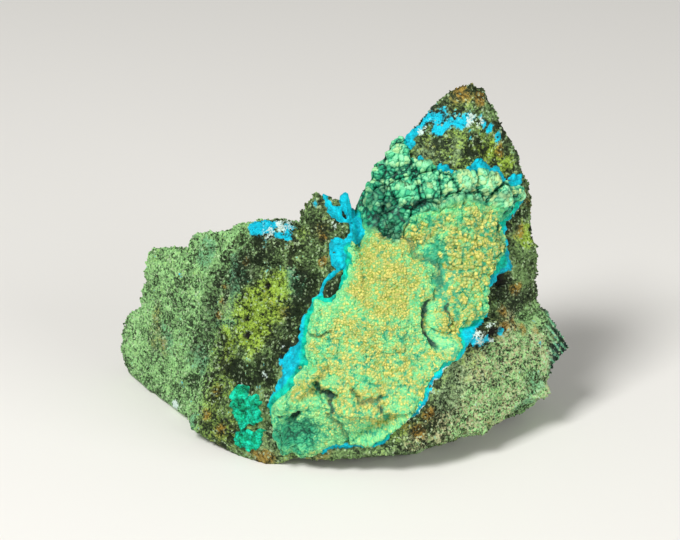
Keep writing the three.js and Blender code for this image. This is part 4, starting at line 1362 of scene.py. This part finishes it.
class SPECIMEN_OT_patches(bpy.types.Operator):
    """Adds the two malachite patches"""

    bl_idname = "specimen.patches"
    bl_label = "Malachite patches"

    def execute(self, context):
        finish = patch_finish(context.scene.patch_look)

        def detail(s, t, here, depth):
            """Broad lumps, small beads and velvety noise."""
            lump, _ = packed_beads(here, *PATCH_LUMPS)
            cap, bead = packed_beads(here, *PATCH_BEADS)
            velvet = layered(here, 0.7, 2)
            fine = 0.3 * (lump - 0.6) + 0.12 * cap + 0.28 * velvet
            # The cap mark is higher on bead and lump tops, where the finish paints light, and low
            # between them, where it paints shade.
            return fine, {"cap": 0.3 * cap + 0.3 * lump + 0.35 + 0.3 * velvet, "bead": bead}

        for name, node, outline in (("green_patch_upper", "malachite_patch_upper", UPPER_PATCH),
                                    ("green_patch_lower", "malachite_patch_lower", LOWER_PATCH)):

            def depth_at(s, t, here, outline=outline):
                ragged = 0.55 * noise(here, 1.6) + 0.4 * noise(here, 0.7)
                return length_inside(outline, s, t, here) + ragged

            spans = zip(np.min(outline, 0) - PATCH_MARGIN, np.max(outline, 0) + PATCH_MARGIN)
            patch = chart_skin(name, depth_at, lambda *_: PATCH_RISE, detail,
                               (*PATCH_GRID, *spans), PATCH_CUT)
            settle(patch, finish, "malachite", node)
        return {"FINISHED"}


class SPECIMEN_OT_stage(bpy.types.Operator):
    """Adds the floor, the lights and the camera"""

    bl_idname = "specimen.stage"
    bl_label = "Stage"

    def execute(self, context):
        look = context.scene.stage_look
        scene = context.scene
        self.floor(look)
        self.sky(scene, look)
        self.light("key", look.key, *KEY_LIGHT)
        self.light("fill", look.fill, *FILL_LIGHT)
        self.camera(scene, look)
        scene.view_settings.view_transform = "Standard"
        return {"FINISHED"}

    def floor(self, look):
        """A flat square floor under the foot."""
        corners = np.array([(-1, -1, 0), (1, -1, 0), (1, 1, 0), (-1, 1, 0)]) * FLOOR_HALF / MM
        floor = new_piece("floor", corners, np.array([[0, 1, 2, 3]]), {}, False)
        finish = Finish("floor_finish", Roughness=0.85)
        floor.data.materials.append(finish.done(Base_Color=tuple(look.floor)))

    def sky(self, scene, look):
        """Even light from all round."""
        scene.world = bpy.data.worlds.new("studio")
        scene.world.use_nodes = True
        background = scene.world.node_tree.nodes["Background"]
        background.inputs["Color"].default_value = (1.0, 0.99, 0.97, 1.0)
        background.inputs["Strength"].default_value = look.sky

    def light(self, name, power, size, place):
        """A square soft light that faces the specimen."""
        lamp = bpy.data.lights.new(name, "AREA")
        lamp.energy = power
        lamp.size = size
        holder = bpy.data.objects.new(name, lamp)
        holder.location = place
        holder.rotation_euler = (MIDDLE - Vector(place)).to_track_quat("-Z", "Y").to_euler()
        bpy.context.scene.collection.objects.link(holder)

    def camera(self, scene, look):
        """A long lens at the view's height angle."""
        lens = bpy.data.cameras.new("camera")
        lens.sensor_width = 36.0
        lens.lens = lens.sensor_width * look.distance / look.across
        camera = bpy.data.objects.new("camera", lens)
        away = Vector((0, -math.cos(look.elevation), math.sin(look.elevation)))
        camera.location = MIDDLE + away * look.distance
        camera.rotation_euler = (-away).to_track_quat("-Z", "Y").to_euler()
        scene.collection.objects.link(camera)
        scene.camera = camera


class SPECIMEN_PT_panel(bpy.types.Panel):
    """The specimen's pieces and their settings"""

    bl_label = "Brochantite specimen"
    bl_idname = "SPECIMEN_PT_panel"
    bl_space_type = "VIEW_3D"
    bl_region_type = "UI"
    bl_category = "Specimen"

    def draw(self, context):
        for look, _, operator in LOOKS:
            box = self.layout.box()
            box.operator(operator.bl_idname)
            group = getattr(context.scene, look)
            for name in group.bl_rna.properties.keys():
                if name not in ("name", "rna_type"):
                    box.prop(group, name)


LOOKS = [
    ("rock_look", RockLook, SPECIMEN_OT_rock),
    ("crust_look", CrustLook, SPECIMEN_OT_crust),
    ("seam_look", SeamLook, SPECIMEN_OT_seam),
    ("patch_look", PatchLook, SPECIMEN_OT_patches),
    ("stage_look", StageLook, SPECIMEN_OT_stage),
]
CLASSES = [item for _, *pair in LOOKS for item in pair] + [SPECIMEN_PT_panel]


def register():
    """Registers the settings, operators and panel."""
    for item in CLASSES:
        bpy.utils.register_class(item)
    for name, group, _ in LOOKS:
        setattr(bpy.types.Scene, name, PointerProperty(type=group))


def unregister():
    """Takes the settings, operators and panel away again."""
    for name, _, _ in LOOKS:
        delattr(bpy.types.Scene, name)
    for item in reversed(CLASSES):
        bpy.utils.unregister_class(item)


def main():
    """Builds every piece and the stage."""
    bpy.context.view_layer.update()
    register()
    bpy.ops.specimen.rock()
    bpy.ops.specimen.crust()
    bpy.ops.specimen.seam()
    bpy.ops.specimen.patches()
    bpy.ops.specimen.stage()


if __name__ == "__main__":
    main()
